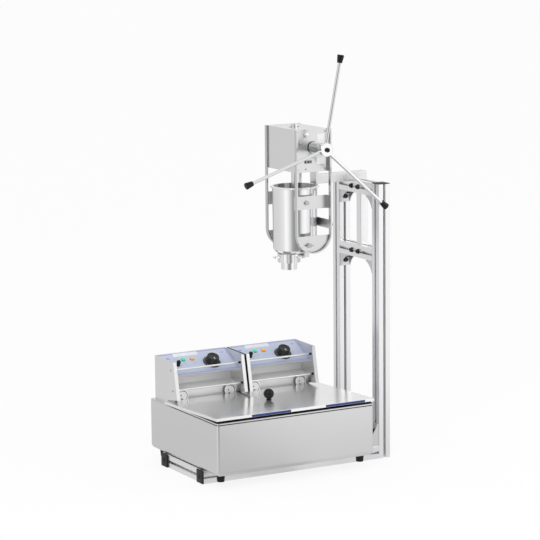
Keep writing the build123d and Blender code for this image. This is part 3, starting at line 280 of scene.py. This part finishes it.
def fascia_film(name):
    """Printed film, blue-grey and a touch paler to the rear, on sheet steel that shows below."""
    finish = Finish(name, (0.47, 0.53, 0.66), 0.34)
    spot = finish.place()
    _, depth, height = finish.split(spot)
    fade = finish.ramp(depth, 0.11, 0.205)
    cloud = finish.noise(spot, 18.0)
    film = finish.mix(fade * 0.7 + cloud * 0.3, (0.43, 0.49, 0.64), (0.56, 0.60, 0.74))
    panel_base = (fascia_front_z - fascia_front_y * tan(fascia_slope)) * MM
    under_film = -0.0007
    bare = height - depth * tan(fascia_slope) - panel_base < under_film
    finish.set("Base Color", finish.mix(bare, film, grey(0.74)))
    finish.set("Metallic", bare)
    finish.set("Roughness", (cloud - 0.5) * 0.1 + 0.34)
    finish.set("Normal", finish.bump(finish.noise(spot, 900.0), 0.2, fine_grain))
    finish.keep()


def brushed(finish, grain, colour):
    """Grain and mottling for a finish that has dark places; returns its metal colour."""
    lines, cloud = finish.polish(grain)
    finish.set("Roughness", (cloud - 0.5) * 0.12 + 0.33)
    finish.set("Normal", finish.bump(lines, 0.25, fine_grain))
    tone = (lines - 0.5) * 0.1 + (cloud - 0.5) * 0.08 + 0.5
    return finish.mix(tone, shade(colour, darkest), shade(colour, palest))


def tank_steel(name):
    """Brushed steel, with dark sealant in the joint under the rim and painted shade, near black, on
    the rim's top edge under the lid.
    """
    front, left, right_side, joint_rear = -0.2198, -0.3219, 0.2079, 0.1178
    joint_low, joint_high = 0.19445, 0.19755
    rim_top, lid_rear = 0.2014, 0.117
    colour = grey(0.70)
    finish = Finish(name, colour, 0.33, 1.0)
    across, depth, height = finish.split(finish.place())
    sides = (depth < front).most(across < left).most(across > right_side) * (depth < joint_rear)
    joint = sides * (height > joint_low) * (height < joint_high)
    # Painted shade: the rim's top under the lid is coloured near black, together with the dark
    # sealant in the joint under the rim.
    sealant_and_painted_shade = joint.most((height > rim_top) * (depth < lid_rear))
    steel = brushed(finish, along_x, colour)
    finish.set("Base Color", finish.mix(sealant_and_painted_shade, steel, grey(0.012)))
    finish.set("Metallic", 1.0 - sealant_and_painted_shade)
    finish.keep()


def cheek_steel(name):
    """Brushed steel with painted shade, near black, in the narrow gap between the two heads."""
    gap_middle, gap_reach = -0.0645, 0.0037
    colour = grey(0.76)
    finish = Finish(name, colour, 0.33, 1.0)
    across, _, _ = finish.split(finish.place())
    # Painted shade: the narrow gap between the two heads is coloured near black.
    gap_shade = (across - gap_middle).size() < gap_reach
    steel = brushed(finish, along_y, colour)
    finish.set("Base Color", finish.mix(gap_shade, steel, grey(0.03)))
    finish.set("Metallic", 1.0 - gap_shade)
    finish.keep()


def cradle_steel(name):
    """Brushed plate with a painted shade line where it meets the bend of its hoop."""
    bend_middle_x, bend_middle_z, seam_radius = 0.07985, 0.715, 0.0555
    colour = (0.66, 0.66, 0.665)
    finish = Finish(name, colour, 0.3, 1.0)
    from_bend = finish.place((1.0, 0.0, 1.0), (-bend_middle_x, 0.0, -bend_middle_z))
    # Painted shade: beyond this radius from the bend, where the plate meets its hoop, it is
    # coloured near black.
    seam_shade = finish.length(from_bend) > seam_radius
    steel = brushed(finish, along_x, colour)
    finish.set("Base Color", finish.mix(seam_shade, steel, grey(0.06)))
    finish.keep()


def element_steel(name):
    """Heating element: browned in the oil; above the deck the shrouds' sides dark with painted
    shade, their front rings bright.
    """
    deck, ring_rear = 0.1945, 0.1207
    finish = Finish(name, silver, 0.2, 1.0)
    _, depth, height = finish.split(finish.place())
    cloud = finish.noise(finish.place(), 60.0, 3.0)
    browned = finish.mix(cloud, (0.32, 0.29, 0.27), (0.42, 0.38, 0.34))
    in_oil = height < deck
    # Painted shade: above the deck the shrouds' sides are dark grey; only their front rings are
    # pale.
    above_deck = finish.mix(depth < ring_rear, grey(0.26), grey(0.86))
    finish.set("Base Color", finish.mix(in_oil, above_deck, browned))
    finish.set("Roughness", in_oil * 0.15 + (cloud - 0.5) * 0.1 + 0.2)
    finish.keep()


def cylinder_steel(name):
    """Polished outside; inside duller, with soft upright bands of painted reflection, and fine
    turning marks on both.
    """
    axis_x, axis_y, wall_middle = 0.0705, 0.0054, 0.0655
    upright = (1.0, 1.0, 0.0)
    finish = Finish(name, silver, 0.12, 1.0)
    inside = finish.length(finish.place(upright, (-axis_x, -axis_y, 0.0))) < wall_middle
    rings, cloud = finish.polish(round_z)
    outer = finish.mix(cloud, shade(silver, 0.97), shade(silver, 1.03))
    # Painted reflections: soft upright bands of dark and pale on the inner wall.
    painted_reflection_bands = finish.noise(finish.place(upright), 42.0, 0.0)
    inner_painted_reflections = finish.mix(finish.ramp(painted_reflection_bands, 0.45, 0.55), grey(0.28), grey(1.0))
    finish.set("Base Color", finish.mix(inside, outer, inner_painted_reflections))
    finish.set("Metallic", 1.0 - inside * 0.8)
    finish.set("Roughness", inside * 0.12 + (cloud - 0.5) * 0.06 + 0.12)
    finish.set("Normal", finish.bump(rings, 0.2, 0.00001))
    finish.keep()


fascia_film("film")
cylinder_steel("cylinder_steel")
tank_steel("tank_steel")
cheek_steel("cheek_steel")
element_steel("element_steel")
cradle_steel("cradle_steel")

cad_finish = {
    "profile_x": ["front_rail", "rear_rail"],
    "profile_y": ["base_ties", "crossbars"],
    "profile_z": ["front_post", "rear_post", "crossbar_strut"],
    "housing_steel": ["fryer_housing"],
    "tank_steel": ["frying_tank"],
    "plate_steel": ["cross_plates", "side_bar", "cylinder_lugs"],
    "cradle_steel": ["cradle_plates"],
    "recess_steel": ["left_recess_plate", "right_recess_plate"],
    "cheek_steel": ["left_head_casing", "right_head_casing"],
    "brushed_z": ["mounting_plate", "machine_arm"],
    "gearbox_steel": ["gearbox_casing", "gearbox_rear_plate"],
    "face_steel": ["gearbox_front_plate"],
    "strap_steel": ["front_hoop", "rear_hoop"],
    "polished": ["star_nozzle", "nozzle_nut"],
    "cylinder_steel": ["dough_cylinder"],
    "lid_steel": ["tank_lid"],
    "bright": ["crank_hub"],
    "bar_steel": ["crank_arms"],
    "turned": ["crank_shaft", "drive_pinion", "rack_rod", "piston"],
    "cast": ["corner_brackets"],
    "bolt": ["frame_bolts", "gearbox_screws", "clamp_screws", "front_wing_screw",
             "rear_wing_screw"],
    "bronze": ["rack_guides"],
    "element_steel": ["left_heating_element", "right_heating_element"],
    "black": ["end_caps", "shaft_bearings", "crank_bolt", "left_reset_button",
              "right_reset_button"],
    "gloss_black": ["crank_grips", "lid_knob"],
    "dial_black": ["left_thermostat_knob", "right_thermostat_knob"],
    "rubber": ["fryer_feet", "lid_bumpers"],
    "seal": ["piston_seal"],
    "green_lens": ["left_lamps", "right_lamps"],
    "film": ["left_head_fascia", "right_head_fascia"],
}
for finish_name, node_names in cad_finish.items():
    for node_name in node_names:
        slots = nodes[node_name].data.materials
        if not slots:
            slots.append(None)
        for index in range(len(slots)):
            slots[index] = finishes[finish_name]

# ---- studio ----
scene.view_settings.view_transform = "Standard"

floor_half_width = 100.0
floor_mesh = bmesh.new()
bmesh.ops.create_grid(floor_mesh, x_segments=1, y_segments=1, size=floor_half_width)
floor_data = bpy.data.meshes.new("studio_floor")
floor_mesh.to_mesh(floor_data)
floor_mesh.free()
floor = bpy.data.objects.new("studio_floor", floor_data)
scene.collection.objects.link(floor)

# Light tent: how bright a mirror sees it in each direction, in degrees about the part's Z.
tent_top = 1.25
tent_levels = [
    (-180, 0.95), (-166, 1.2), (-152, 1.02), (-140, 0.72), (-130, 0.42), (-112, 0.30),
    (-96, 0.33), (-87, 0.72), (-79, 1.05), (-62, 1.18), (-47, 0.98), (-34, 0.90), (-12, 1.02),
    (10, 0.95), (28, 0.66), (45, 0.72), (61, 0.90), (85, 0.80), (105, 0.76), (130, 0.80),
    (150, 0.82), (180, 0.95)]


def tent_light(finish, direction):
    """Level of the tent in a direction, with its middle turned to the ramp's half."""
    settings = {"gradient_type": "RADIAL"}
    turn = finish.node("ShaderNodeTexGradient", settings, direction, output=1)
    stops = [(0.5 + degrees / 360, level / tent_top) for degrees, level in tent_levels]
    return finish.node("ShaderNodeValToRGB", {"stops": stops}, turn) * tent_top


def shown_to(finish, *rays):
    """1 for rays of the kinds named."""
    path = finish.node("ShaderNodeLightPath", {}).socket.node
    kinds = [Value(finish, path.outputs[ray]) for ray in rays]
    total = kinds[0]
    for kind in kinds[1:]:
        total = total.most(kind)
    return total


# The floor is white to the eye. A mirror sees it pale near the part, like the tent far off, and
# darker in the quarter behind the part.
floor_finish = Finish("studio_floor", grey(0.95), 0.8)
floor_spot = floor_finish.place()
floor_reach = floor_finish.length(floor_spot)
far_floor = floor_finish.ramp(floor_reach, 0.5, 1.6, kind="SMOOTHSTEP")
near_level, near_share = 0.57, 0.22
dark_middle, dark_spread, most_dark = radians(61), 0.7, 0.5
behind = floor_finish.node("ShaderNodeVectorMath", {"operation": "DOT_PRODUCT"}, floor_spot,
                           (cos(dark_middle), sin(dark_middle), 0.0)) - floor_reach * dark_spread
dark_behind = floor_finish.ramp(behind, 0.3, 1.2, last=most_dark, kind="SMOOTHSTEP")
tent = tent_light(floor_finish, floor_spot)
near_light = tent * near_share + near_level
floor_light = (near_light + far_floor * (tent - near_light)) * (1.0 - dark_behind)
mirrored = shown_to(floor_finish, "Is Glossy Ray", "Is Transmission Ray")
floor_colour = floor_finish.mix(mirrored, grey(1.0), floor_light)
glow = floor_finish.node("ShaderNodeEmission", {}, floor_colour)
seen_share = 0.85
share = mirrored.most(shown_to(floor_finish, "Is Camera Ray") * seen_share)
surface = floor_finish.node("ShaderNodeMixShader", {}, share, None, glow)
floor_output = floor_finish.tree.nodes["Material Output"].inputs["Surface"]
floor_finish.tree.links.new(floor_finish.shader.outputs[0], surface.socket.node.inputs[1])
floor_finish.tree.links.new(surface.socket, floor_output)
floor_data.materials.append(floor_finish.material)

world = bpy.data.worlds.new("studio")
world.use_nodes = True
scene.world = world


class Room(Finish):
    """The world's node tree, worked on with the same expressions as a finish."""

    def __init__(self, tree):
        self.tree = tree


room = Room(world.node_tree)
direction = room.node("ShaderNodeTexCoord", {}, output=0)
_, _, height = room.split(direction)
overhead = room.ramp(height, 0.25, 0.8, kind="SMOOTHSTEP")
walls = tent_light(room, direction)
seen_in_metal = walls + overhead * (1.0 - walls)
plain_light = 0.85
by_mirror = shown_to(room, "Is Glossy Ray", "Is Transmission Ray")
room_light = plain_light + by_mirror * (seen_in_metal - plain_light)
room_light = room_light + shown_to(room, "Is Camera Ray") * (1.0 - room_light)
backdrop = world.node_tree.nodes["Background"]
backdrop.inputs["Strength"].default_value = 1.0
room.feed(backdrop.inputs["Color"], room_light)


def softbox(name, spot, aim, size, power):
    data = bpy.data.lights.new(name, "AREA")
    data.size = size
    data.energy = power
    lamp = bpy.data.objects.new(name, data)
    lamp.location = spot
    lamp.rotation_euler = (Vector(aim) - Vector(spot)).to_track_quat("-Z", "Y").to_euler()
    scene.collection.objects.link(lamp)


part_middle = (0, 0, 0.5)
softbox("key", (-2.2, -2.6, 3.0), part_middle, size=1.6, power=38.0)
softbox("fill", (2.6, -2.2, 1.8), part_middle, size=1.8, power=14.0)


# ---- building small parts ----
bevel_from, same_spot = radians(30), 0.0005


def spot_on(origin, x_axis, normal):
    """Place whose own X and Z run along an axis and a normal of the part."""
    z = Vector(normal).normalized()
    x = Vector(x_axis).normalized()
    y = z.cross(x)
    turn = Matrix((x, y, z)).transposed().to_4x4()
    return Matrix.Translation(Vector(origin)) @ turn


def facing_front(x, y, z):
    return spot_on((x, y, z), (1, 0, 0), (0, -1, 0))


def shifted(place, x=0.0, y=0.0, z=0.0):
    """The place moved along its own axes."""
    return place @ Matrix.Translation((x, y, z))


def turned_by(place, angle):
    """The place turned about its own normal."""
    return place @ Matrix.Rotation(angle, 4, "Z")


class Shape:
    """One mesh, put together from shapes in millimetres."""

    def __init__(self):
        self.bm = bmesh.new()

    def soften(self, verts, width, segments):
        if width <= 0:
            return
        edges = dict.fromkeys(
            edge for vert in verts for edge in vert.link_edges
            if len(edge.link_faces) == 2 and edge.calc_face_angle() > bevel_from)
        bmesh.ops.bevel(self.bm, geom=list(edges), offset=width, segments=segments, profile=0.5,
                        affect="EDGES", material=-1, clamp_overlap=True)

    def slab(self, place, width, depth, height, soft=0.0, segments=2):
        """Block on its place: width along X, depth along Y, height up from the face."""
        middle = shifted(place, z=height / 2)
        size = Matrix.Diagonal((width, depth, height, 1))
        made = bmesh.ops.create_cube(self.bm, size=1.0, matrix=middle @ size)
        self.soften(made["verts"], soft, segments)

    def disc(self, place, radius, height, soft=0.0, sides=48, segments=2):
        """Round or many-sided plug standing on its place."""
        made = bmesh.ops.create_cone(
            self.bm, cap_ends=True, segments=sides, radius1=radius, radius2=radius,
            depth=height, matrix=shifted(place, z=height / 2))
        self.soften(made["verts"], soft, segments)

    def turned(self, place, outline, sides=64):
        """Outline of (radius, height) pairs, spun about the place's normal."""
        verts = [self.bm.verts.new(place @ Vector((radius, 0, height)))
                 for radius, height in outline]
        edges = [self.bm.edges.new(pair) for pair in zip(verts, verts[1:])]
        axis = (place.to_3x3() @ Vector((0, 0, 1))).normalized()
        bmesh.ops.spin(self.bm, geom=verts + edges, cent=place.translation, axis=axis,
                       angle=2 * pi, steps=sides, use_merge=True, use_duplicate=False)
        bmesh.ops.remove_doubles(self.bm, verts=self.bm.verts, dist=same_spot)

    def finish(self, name, body, finish_name, slot=None, replaces=(), smooth=32.0):
        """Makes the mesh a piece that rides a body, in place of the nodes it replaces."""
        bm = self.bm
        bmesh.ops.recalc_face_normals(bm, faces=bm.faces)
        bmesh.ops.scale(bm, vec=(MM, MM, MM), verts=bm.verts)
        data = bpy.data.meshes.new(name)
        bm.to_mesh(data)
        bm.free()
        data.shade_smooth()
        data.set_sharp_from_angle(angle=radians(smooth))
        data.materials.append(finishes[finish_name])
        piece = bpy.data.objects.new(name, data)
        scene.collection.objects.link(piece)
        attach(piece, body)
        if replaces:
            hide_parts(*replaces)


def screw(shape, place, radius, height):
    """Button-head screw with a six-sided recess."""
    socket, floor_level = radius * 0.5, height * 0.35
    shape.turned(place, [(radius, 0), (radius, height * 0.45), (radius * 0.8, height * 0.85),
                         (radius * 0.62, height), (socket, height)], sides=24)
    shape.turned(place, [(socket, height), (socket * 0.92, floor_level), (0, floor_level)],
                 sides=6)
    shape.turned(place, [(radius, 0), (0, 0)], sides=24)


def cap_screw(shape, place):
    """Washer and socket-head screw on it."""
    washer_radius, washer_height = 8.0, 1.6
    head_radius, head_height, head_edge = 6.5, 5.0, 0.6
    socket, socket_depth = 3.0, 3.0
    shape.disc(place, washer_radius, washer_height, 0.3, sides=32)
    seat = shifted(place, z=washer_height)
    shape.turned(seat, [(0, 0), (head_radius, 0), (head_radius, head_height - head_edge),
                        (head_radius - head_edge, head_height), (socket, head_height)], sides=32)
    shape.turned(seat, [(socket, head_height), (socket, head_height - socket_depth),
                        (0, head_height - socket_depth)], sides=6)


# ---- stand ----
# front_y and rear_y are the middles of the rails and posts.
profile, post_x, post_top = 40.0, 307.5, 853.5
post_left_x, rail_left_x = post_x - profile / 2, -323
front_y, rear_y = -108.6, 126.4
post_front_inside, post_rear_inside = front_y + profile / 2, rear_y - profile / 2
bracket_plate, bracket_bolt, foot_bolt = 4, 22.0, 43.6

bolts = Shape()
for bar_top in (652.4, post_top):
    for bolt_y in (-7.5, 30.5):
        bolt_spot = (post_left_x, bolt_y, bar_top - profile / 2)
        cap_screw(bolts, spot_on(bolt_spot, (0, -1, 0), (-1, 0, 0)))
    under = bar_top - profile
    for face_y, inward in ((post_front_inside, 1), (post_rear_inside, -1)):
        on_post = (post_x, face_y + inward * bracket_plate, under - bracket_bolt)
        on_bar = (post_x, face_y + inward * bracket_bolt, under - bracket_plate)
        cap_screw(bolts, spot_on(on_post, (1, 0, 0), (0, inward, 0)))
        cap_screw(bolts, spot_on(on_bar, (1, 0, 0), (0, 0, -1)))
for foot_y in (front_y, rear_y):
    on_post = (post_left_x - bracket_plate, foot_y, profile + foot_bolt)
    on_rail = (post_left_x - foot_bolt, foot_y, profile + bracket_plate)
    cap_screw(bolts, spot_on(on_post, (0, -1, 0), (-1, 0, 0)))
    cap_screw(bolts, spot_on(on_rail, (1, 0, 0), (0, 0, 1)))
bolts.finish("socket_screws", "stand", "dark_bolt", "bolt_steel", ["frame_bolts"])

caps = Shape()
for cap_y in (front_y, rear_y):
    top_seat = spot_on((post_x, cap_y, post_top), (1, 0, 0), (0, 0, 1))
    caps.slab(top_seat, profile, profile, 2.5, soft=0.8, segments=3)
    rail_end = spot_on((rail_left_x, cap_y, profile / 2), (0, -1, 0), (-1, 0, 0))
    caps.slab(rail_end, profile, profile, 4.5, soft=1.2, segments=3)
    caps.disc(shifted(rail_end, z=4.4), 7.5, 0.1, sides=32)
caps.finish("profile_caps", "stand", "black", "black_plastic", ["end_caps"])

# ---- gearbox ----
gearbox_front_y, gearbox_rear_y = -86.1, 96.9
gearbox_top, gearbox_middle_y = 1031, 5.4


def on_gearbox(x, z, lift=0.0):
    """Place on the gearbox's front plate, or a little in front of it."""
    return facing_front(x, gearbox_front_y - lift, z)


blank_labels = Shape()
label_x, label_width = 109.25, 24.5
for label_z, label_height in ((1001.7, 27.4), (936.3, 22.6)):
    blank_labels.slab(on_gearbox(label_x, label_z), label_width, label_height, 0.3)
blank_labels.finish("gearbox_blank_labels", "stand", "label")

knurled = Shape()
plug_x, plug_z, plug_height = 59.3, 1013.3, 3.0
knurled.disc(on_gearbox(plug_x, plug_z), 7.5, plug_height, 0.7, sides=40)
knurled.disc(on_gearbox(plug_x, plug_z, plug_height), 4.2, 0.8, 0.3, sides=32)
knurled.finish("gearbox_knurled_plug", "stand", "turned", "polished_stainless")

latch = Shape()
latch_z, latch_height = 933, 1.4
latch.slab(on_gearbox(65.6, latch_z), 24, 8.5, latch_height, soft=4.0, segments=4)
latch.finish("gearbox_slot_plate", "stand", "dark_bolt", "bolt_steel")
latch_screw = Shape()
screw(latch_screw, on_gearbox(60.5, latch_z, latch_height), 3.4, 2.0)
screw(latch_screw, on_gearbox(71.0, latch_z, latch_height), 2.6, 1.6)
screw(latch_screw, on_gearbox(57.5, 911.5), 2.8, 1.4)
latch_screw.finish("gearbox_small_screws", "stand", "bolt", "bolt_steel")

corner_screws = Shape()
corner_radius, corner_height = 3.0, 1.6
for face_y, outward in ((gearbox_front_y, -1), (gearbox_rear_y, 1)):
    for screw_x in (30.7, 124.5):
        for screw_z in (909.5, 1023.5):
            seat = spot_on((screw_x, face_y, screw_z), (1, 0, 0), (0, outward, 0))
            screw(corner_screws, seat, corner_radius, corner_height)
for screw_x in (56.0, 85.0):
    seat = spot_on((screw_x, gearbox_middle_y, gearbox_top), (1, 0, 0), (0, 0, 1))
    screw(corner_screws, seat, corner_radius, corner_height)
corner_screws.finish("gearbox_corner_screws", "stand", "bolt", "bolt_steel", ["gearbox_screws"])

# ---- crank ----
crank_x, crank_z = 84.0, 975.6
crank_end_y, arm_plane_y = -169.1, -156.6
arm_turns, grip_foot = (78.7, 198.7, 318.7), 260.5

hex_head = Shape()
crank_end = facing_front(crank_x, crank_end_y, crank_z)
hex_height = 5.0
hex_head.disc(crank_end, 7.5, hex_height, 0.7, sides=6, segments=3)
hex_head.turned(shifted(crank_end, z=hex_height), [(3.4, 0.0), (3.0, 0.5), (0, 0.5)], sides=24)
hex_head.finish("crank_end_bolt", "crank", "gloss_black", "black_plastic", ["crank_bolt"])

arm_radius, grip_length = 5.05, 24.5
grip_outline = [(arm_radius, 0), (7.0, 0), (7.5, 0.5), (8.2, 5.0), (9.0, 11.0), (9.9, 17.5),
                (10.5, 21.5), (10.2, 23.2), (9.2, 24.2), (7.6, grip_length), (0, grip_length)]
grip_bore = [(arm_radius, 0), (arm_radius, 21.5), (0, 21.5)]
grips = Shape()
for arm_turn in arm_turns:
    outward = Vector((cos(radians(arm_turn)), 0, sin(radians(arm_turn))))
    foot = Vector((crank_x, arm_plane_y, crank_z)) + outward * grip_foot
    grip_seat = spot_on(foot, (0, 1, 0), outward)
    grips.turned(grip_seat, grip_outline, sides=48)
    grips.turned(grip_seat, grip_bore, sides=48)
grips.finish("crank_grip_mouldings", "crank", "gloss_black", "grip_plastic", ["crank_grips"])

# ---- lid ----
lid_rise, lid_length, lid_sheet = 12.5, 341.3, 1.5
lid_tilt = asin(lid_rise / lid_length)
lid_rear_z, lid_front_y = 203.3, -222.6
knob_x, knob_y, knob_from_rear = -57.0, -51.0, 169.9
ball_radius, ball_centre, ball_steps = 16.0, 19.0, 24

knob_z = lid_rear_z + lid_sheet + knob_from_rear * tan(lid_tilt)
knob_seat = spot_on((knob_x, knob_y, knob_z), (1, 0, 0), (0, sin(lid_tilt), cos(lid_tilt)))
knob_outline = [(0, 0), (9.0, 0), (9.0, 1.2), (8.4, 2.0), (6.6, 3.2)]
for step in range(2, ball_steps + 1):
    angle = -pi / 2 + pi * step / ball_steps
    knob_outline.append((max(0.0, ball_radius * cos(angle)),
                         ball_centre + ball_radius * sin(angle)))
knob = Shape()
knob.turned(knob_seat, knob_outline)
knob.finish("lid_ball_knob", "lid", "gloss_black", "grip_plastic", ["lid_knob"])

strips = Shape()
for strip_left, strip_right in ((-208.9, -76.9), (43.5, 180.1)):
    strip_seat = facing_front((strip_left + strip_right) / 2, lid_front_y, 212.6)
    strips.slab(strip_seat, strip_right - strip_left, 6.8, 0.25)
strips.finish("lid_edge_strips", "lid", "blue_strip")

# ---- control heads ----
head_left_x = {"left": -312.5, "right": -61.0}
head_width = 244.5
guard_rods = ((101.0, 302.5), (87.0, 241.5))
lamp_offsets = {"green": 80.5, "amber": 111.0}


def on_fascia(x, y, lift=0.0):
    """Place on the sloping panel, X to the right, Y up the slope, Z out of it."""
    normal = Vector((0, -sin(fascia_slope), cos(fascia_slope)))
    panel_z = fascia_front_z + (y - fascia_front_y) * tan(fascia_slope)
    return spot_on(Vector((x, y, panel_z)) + normal * lift, (1, 0, 0), normal)


def panel_print(side, left_x):
    """Border, small marks and a bare label, as thin films on the sloping panel."""
    border = Shape()
    middle_x, line, film = left_x + head_width / 2, 3.2, 0.15
    for y in (fascia_front_y + 5, fascia_rear_y - 3.4):
        border.slab(on_fascia(middle_x, y), 238.0, line, film)
    for x in (left_x + 4.8, left_x + 239.7):
        border.slab(on_fascia(x, 160.5), line, 98.0, film)
    for offset, y, width, depth in ((33.0, 186.0, 13.0, 8.0), (34.0, 176.0, 10.0, 3.0),
                                    (222.0, 189.0, 10.0, 5.0)):
        border.slab(on_fascia(left_x + offset, y), width, depth, 0.16)
    border.finish(f"{side}_panel_border", "tank", "violet_ink", "fascia_panel")

    marks = Shape()
    for offset, y, width in ((80.5, 160.0, 14.0), (111.0, 160.0, 14.0), (80.5, 155.0, 9.0),
                             (111.0, 155.0, 9.0), (55.0, 180.0, 16.0), (197.0, 150.0, 12.0),
                             (196.0, 132.0, 16.0)):
        marks.slab(on_fascia(left_x + offset, y), width, 1.4, 0.12)
    marks.finish(f"{side}_panel_marks", "tank", "grey_ink", "fascia_panel")

    plate = Shape()
    plate.slab(on_fascia(left_x + 99.0, 197.5), 84.0, 15.0, 0.2)
    plate.finish(f"{side}_blank_plate", "tank", "pale_label", "fascia_panel")


def lamps(side, left_x):
    """Two domed lenses, each in a raised bezel."""
    lens_radius, rim, floor_level = 6.2, 6.8, 0.9
    bezel_outline = [(0, 0), (rim, 0), (rim, floor_level), (6.5, 1.2), (lens_radius, 1.2),
                     (lens_radius, floor_level), (0, floor_level)]
    lens_outline = [(0, 0), (lens_radius, 0), (lens_radius, 1.1), (5.7, 2.2), (4.4, 2.9),
                    (2.2, 3.1), (0, 3.15)]
    for name, offset in lamp_offsets.items():
        seat = on_fascia(left_x + offset, 175.0)
        bezel = Shape()
        bezel.turned(seat, bezel_outline, sides=40)
        bezel.finish(f"{side}_{name}_bezel", "tank", "black", "lamp_lens")
        dome = Shape()
        dome.turned(shifted(seat, z=floor_level), lens_outline, sides=40)
        dome.finish(f"{side}_{name}_lens", "tank", f"{name}_lens", "lamp_lens",
                    [f"{side}_lamps"] if name == "green" else [])


def reset_boot(side, left_x):
    """Rubber boot over the reset button, with its foot down in the panel."""
    outline = [(0, 0), (6.7, 0), (6.7, 8.2), (6.6, 9.0), (5.6, 13.0), (5.2, 15.0), (6.0, 17.5),
               (6.7, 20.0), (6.6, 22.5), (5.4, 24.4), (3.0, 24.9), (0, 25.0)]
    boot = Shape()
    boot.turned(shifted(on_fascia(left_x + 52.5, 156.0), z=-8), outline, sides=40)
    boot.finish(f"{side}_reset_boot", f"{side}_button", "rubber", "black_plastic",
                [f"{side}_reset_button"])


def dial(side, left_x):
    """Thermostat knob: flange, fluted grip and spindle, with a ring of ticks and a pointer."""
    seat = on_fascia(left_x + 168.0, 153.0, 0.4)
    step_radius, flange_top, face_height = 20.5, 3.6, 22.4
    flange_outline = [(0, 0), (27.6, 0), (28.0, 0.5), (26.9, 2.6), (26.4, 3.0), (20.6, 3.4),
                      (step_radius, flange_top)]
    grip_outline = [(step_radius, flange_top), (19.9, 12.0), (19.2, 20.6), (18.6, 22.0),
                    (17.4, 22.8), (15.6, 22.95), (14.8, 22.6), (0, face_height)]
    flutes, flute_depth, fluted_top, fluted_from = 32, 0.035, 21, 18
    spindle_radius, spindle_length = 3.0, 14.0
    moulding = Shape()
    moulding.turned(seat, flange_outline, sides=96)
    moulding.turned(seat, grip_outline, sides=96)
    for vert in moulding.bm.verts:
        local = seat.inverted() @ vert.co
        if flange_top < local.z < fluted_top and local.xy.length > fluted_from:
            notch = 0.5 + 0.5 * cos(flutes * local.xy.angle(Vector((1, 0))))
            inset = 1 - flute_depth * notch
            vert.co = seat @ Vector((local.x * inset, local.y * inset, local.z))
    moulding.disc(shifted(seat, z=-spindle_length), spindle_radius, spindle_length, sides=24)
    moulding.finish(f"{side}_dial_moulding", f"{side}_knob", "dial_black", "grip_plastic",
                    [f"{side}_thermostat_knob"], smooth=50.0)

    scale = Shape()
    ticks, tick_end, tick_z, first_tick, sweep = 18, 25.9, 3.0, 45, 270
    for tick in range(ticks + 1):
        length = 2.4 if tick % 3 else 4.0
        spot = turned_by(seat, radians(first_tick + sweep * tick / ticks))
        scale.slab(shifted(spot, tick_end - length / 2, 0, tick_z), length, 0.9, 0.35)
    scale.slab(shifted(seat, 0, -9.0, face_height), 2.4, 9.0, 0.4, 0.3)
    scale.finish(f"{side}_dial_scale", f"{side}_knob", "tick", "grip_plastic")


def rod_fittings(side, left_x):
    """Sleeves at both ends of the guard rods, and the screws that hold the rods."""
    sleeves = Shape()
    for rod_y, rod_z in guard_rods:
        for x, length in ((left_x + 232.0, 9.0), (left_x + 1.5, 5.0)):
            sleeve_end = spot_on((x, rod_y, rod_z), (0, 1, 0), (1, 0, 0))
            sleeves.disc(sleeve_end, 3.7, length, 0.3, sides=24)
    sleeves.finish(f"{side}_rod_sleeves", "tank", "black", "black_plastic")

    rivets = Shape()
    for rod_y, rod_z in guard_rods:
        for x, outward in ((left_x, -1), (left_x + head_width, 1)):
            seat = spot_on((x, rod_y, rod_z), (0, 1, 0), (outward, 0, 0))
            screw(rivets, seat, 3.4, 1.3)
    rivets.finish(f"{side}_rod_screws", "tank", "bolt", "bolt_steel")


def tube_faces(side, left_x):
    """Disc on the front of each tube shroud, with a crescent of painted shadow round it, a screw,
    and a black slab below it as a painted contact shadow.
    """
    shroud_y, shroud_z, shadow_disc_radius, shadow_disc_height = 122.0, 214.5, 15.9, 0.3
    disc_radius, disc_height, disc_edge = 14.9, 1.5, 0.3
    disc_outline = [(0, 0), (disc_radius, 0), (disc_radius, disc_height - disc_edge),
                    (disc_radius - disc_edge, disc_height), (0, disc_height)]
    discs = Shape()
    shadows_and_screws = Shape()
    for offset in (50.0, 214.0):
        front = facing_front(left_x + offset, shroud_y, shroud_z)
        # Painted shadow: a black disc behind the face disc, which sits off-centre so that a dark
        # crescent shows at its upper right.
        shadows_and_screws.disc(front, shadow_disc_radius, shadow_disc_height, sides=64)
        face = shifted(front, -0.7, -0.6, shadow_disc_height)
        discs.turned(face, disc_outline)
        screw(shadows_and_screws, shifted(face, -5.5, 2.0, disc_height), 2.0, 0.7)
        # Painted shadow: a black slab low across the disc, standing in for the shroud's contact
        # shadow.
        shadow_slab_spot = turned_by(shifted(face, 2.5, -10.3, disc_height), radians(-24))
        shadows_and_screws.slab(shadow_slab_spot, 19.0, 2.0, 0.4, 0.2)
    discs.finish(f"{side}_tube_discs", "tank", "disc_steel", "element_steel")
    shadows_and_screws.finish(f"{side}_tube_painted_shadows_and_screws", "tank", "black", "black_plastic")


for head_side, head_x in head_left_x.items():
    for dress in (panel_print, lamps, reset_boot, dial, rod_fittings, tube_faces):
        dress(head_side, head_x)
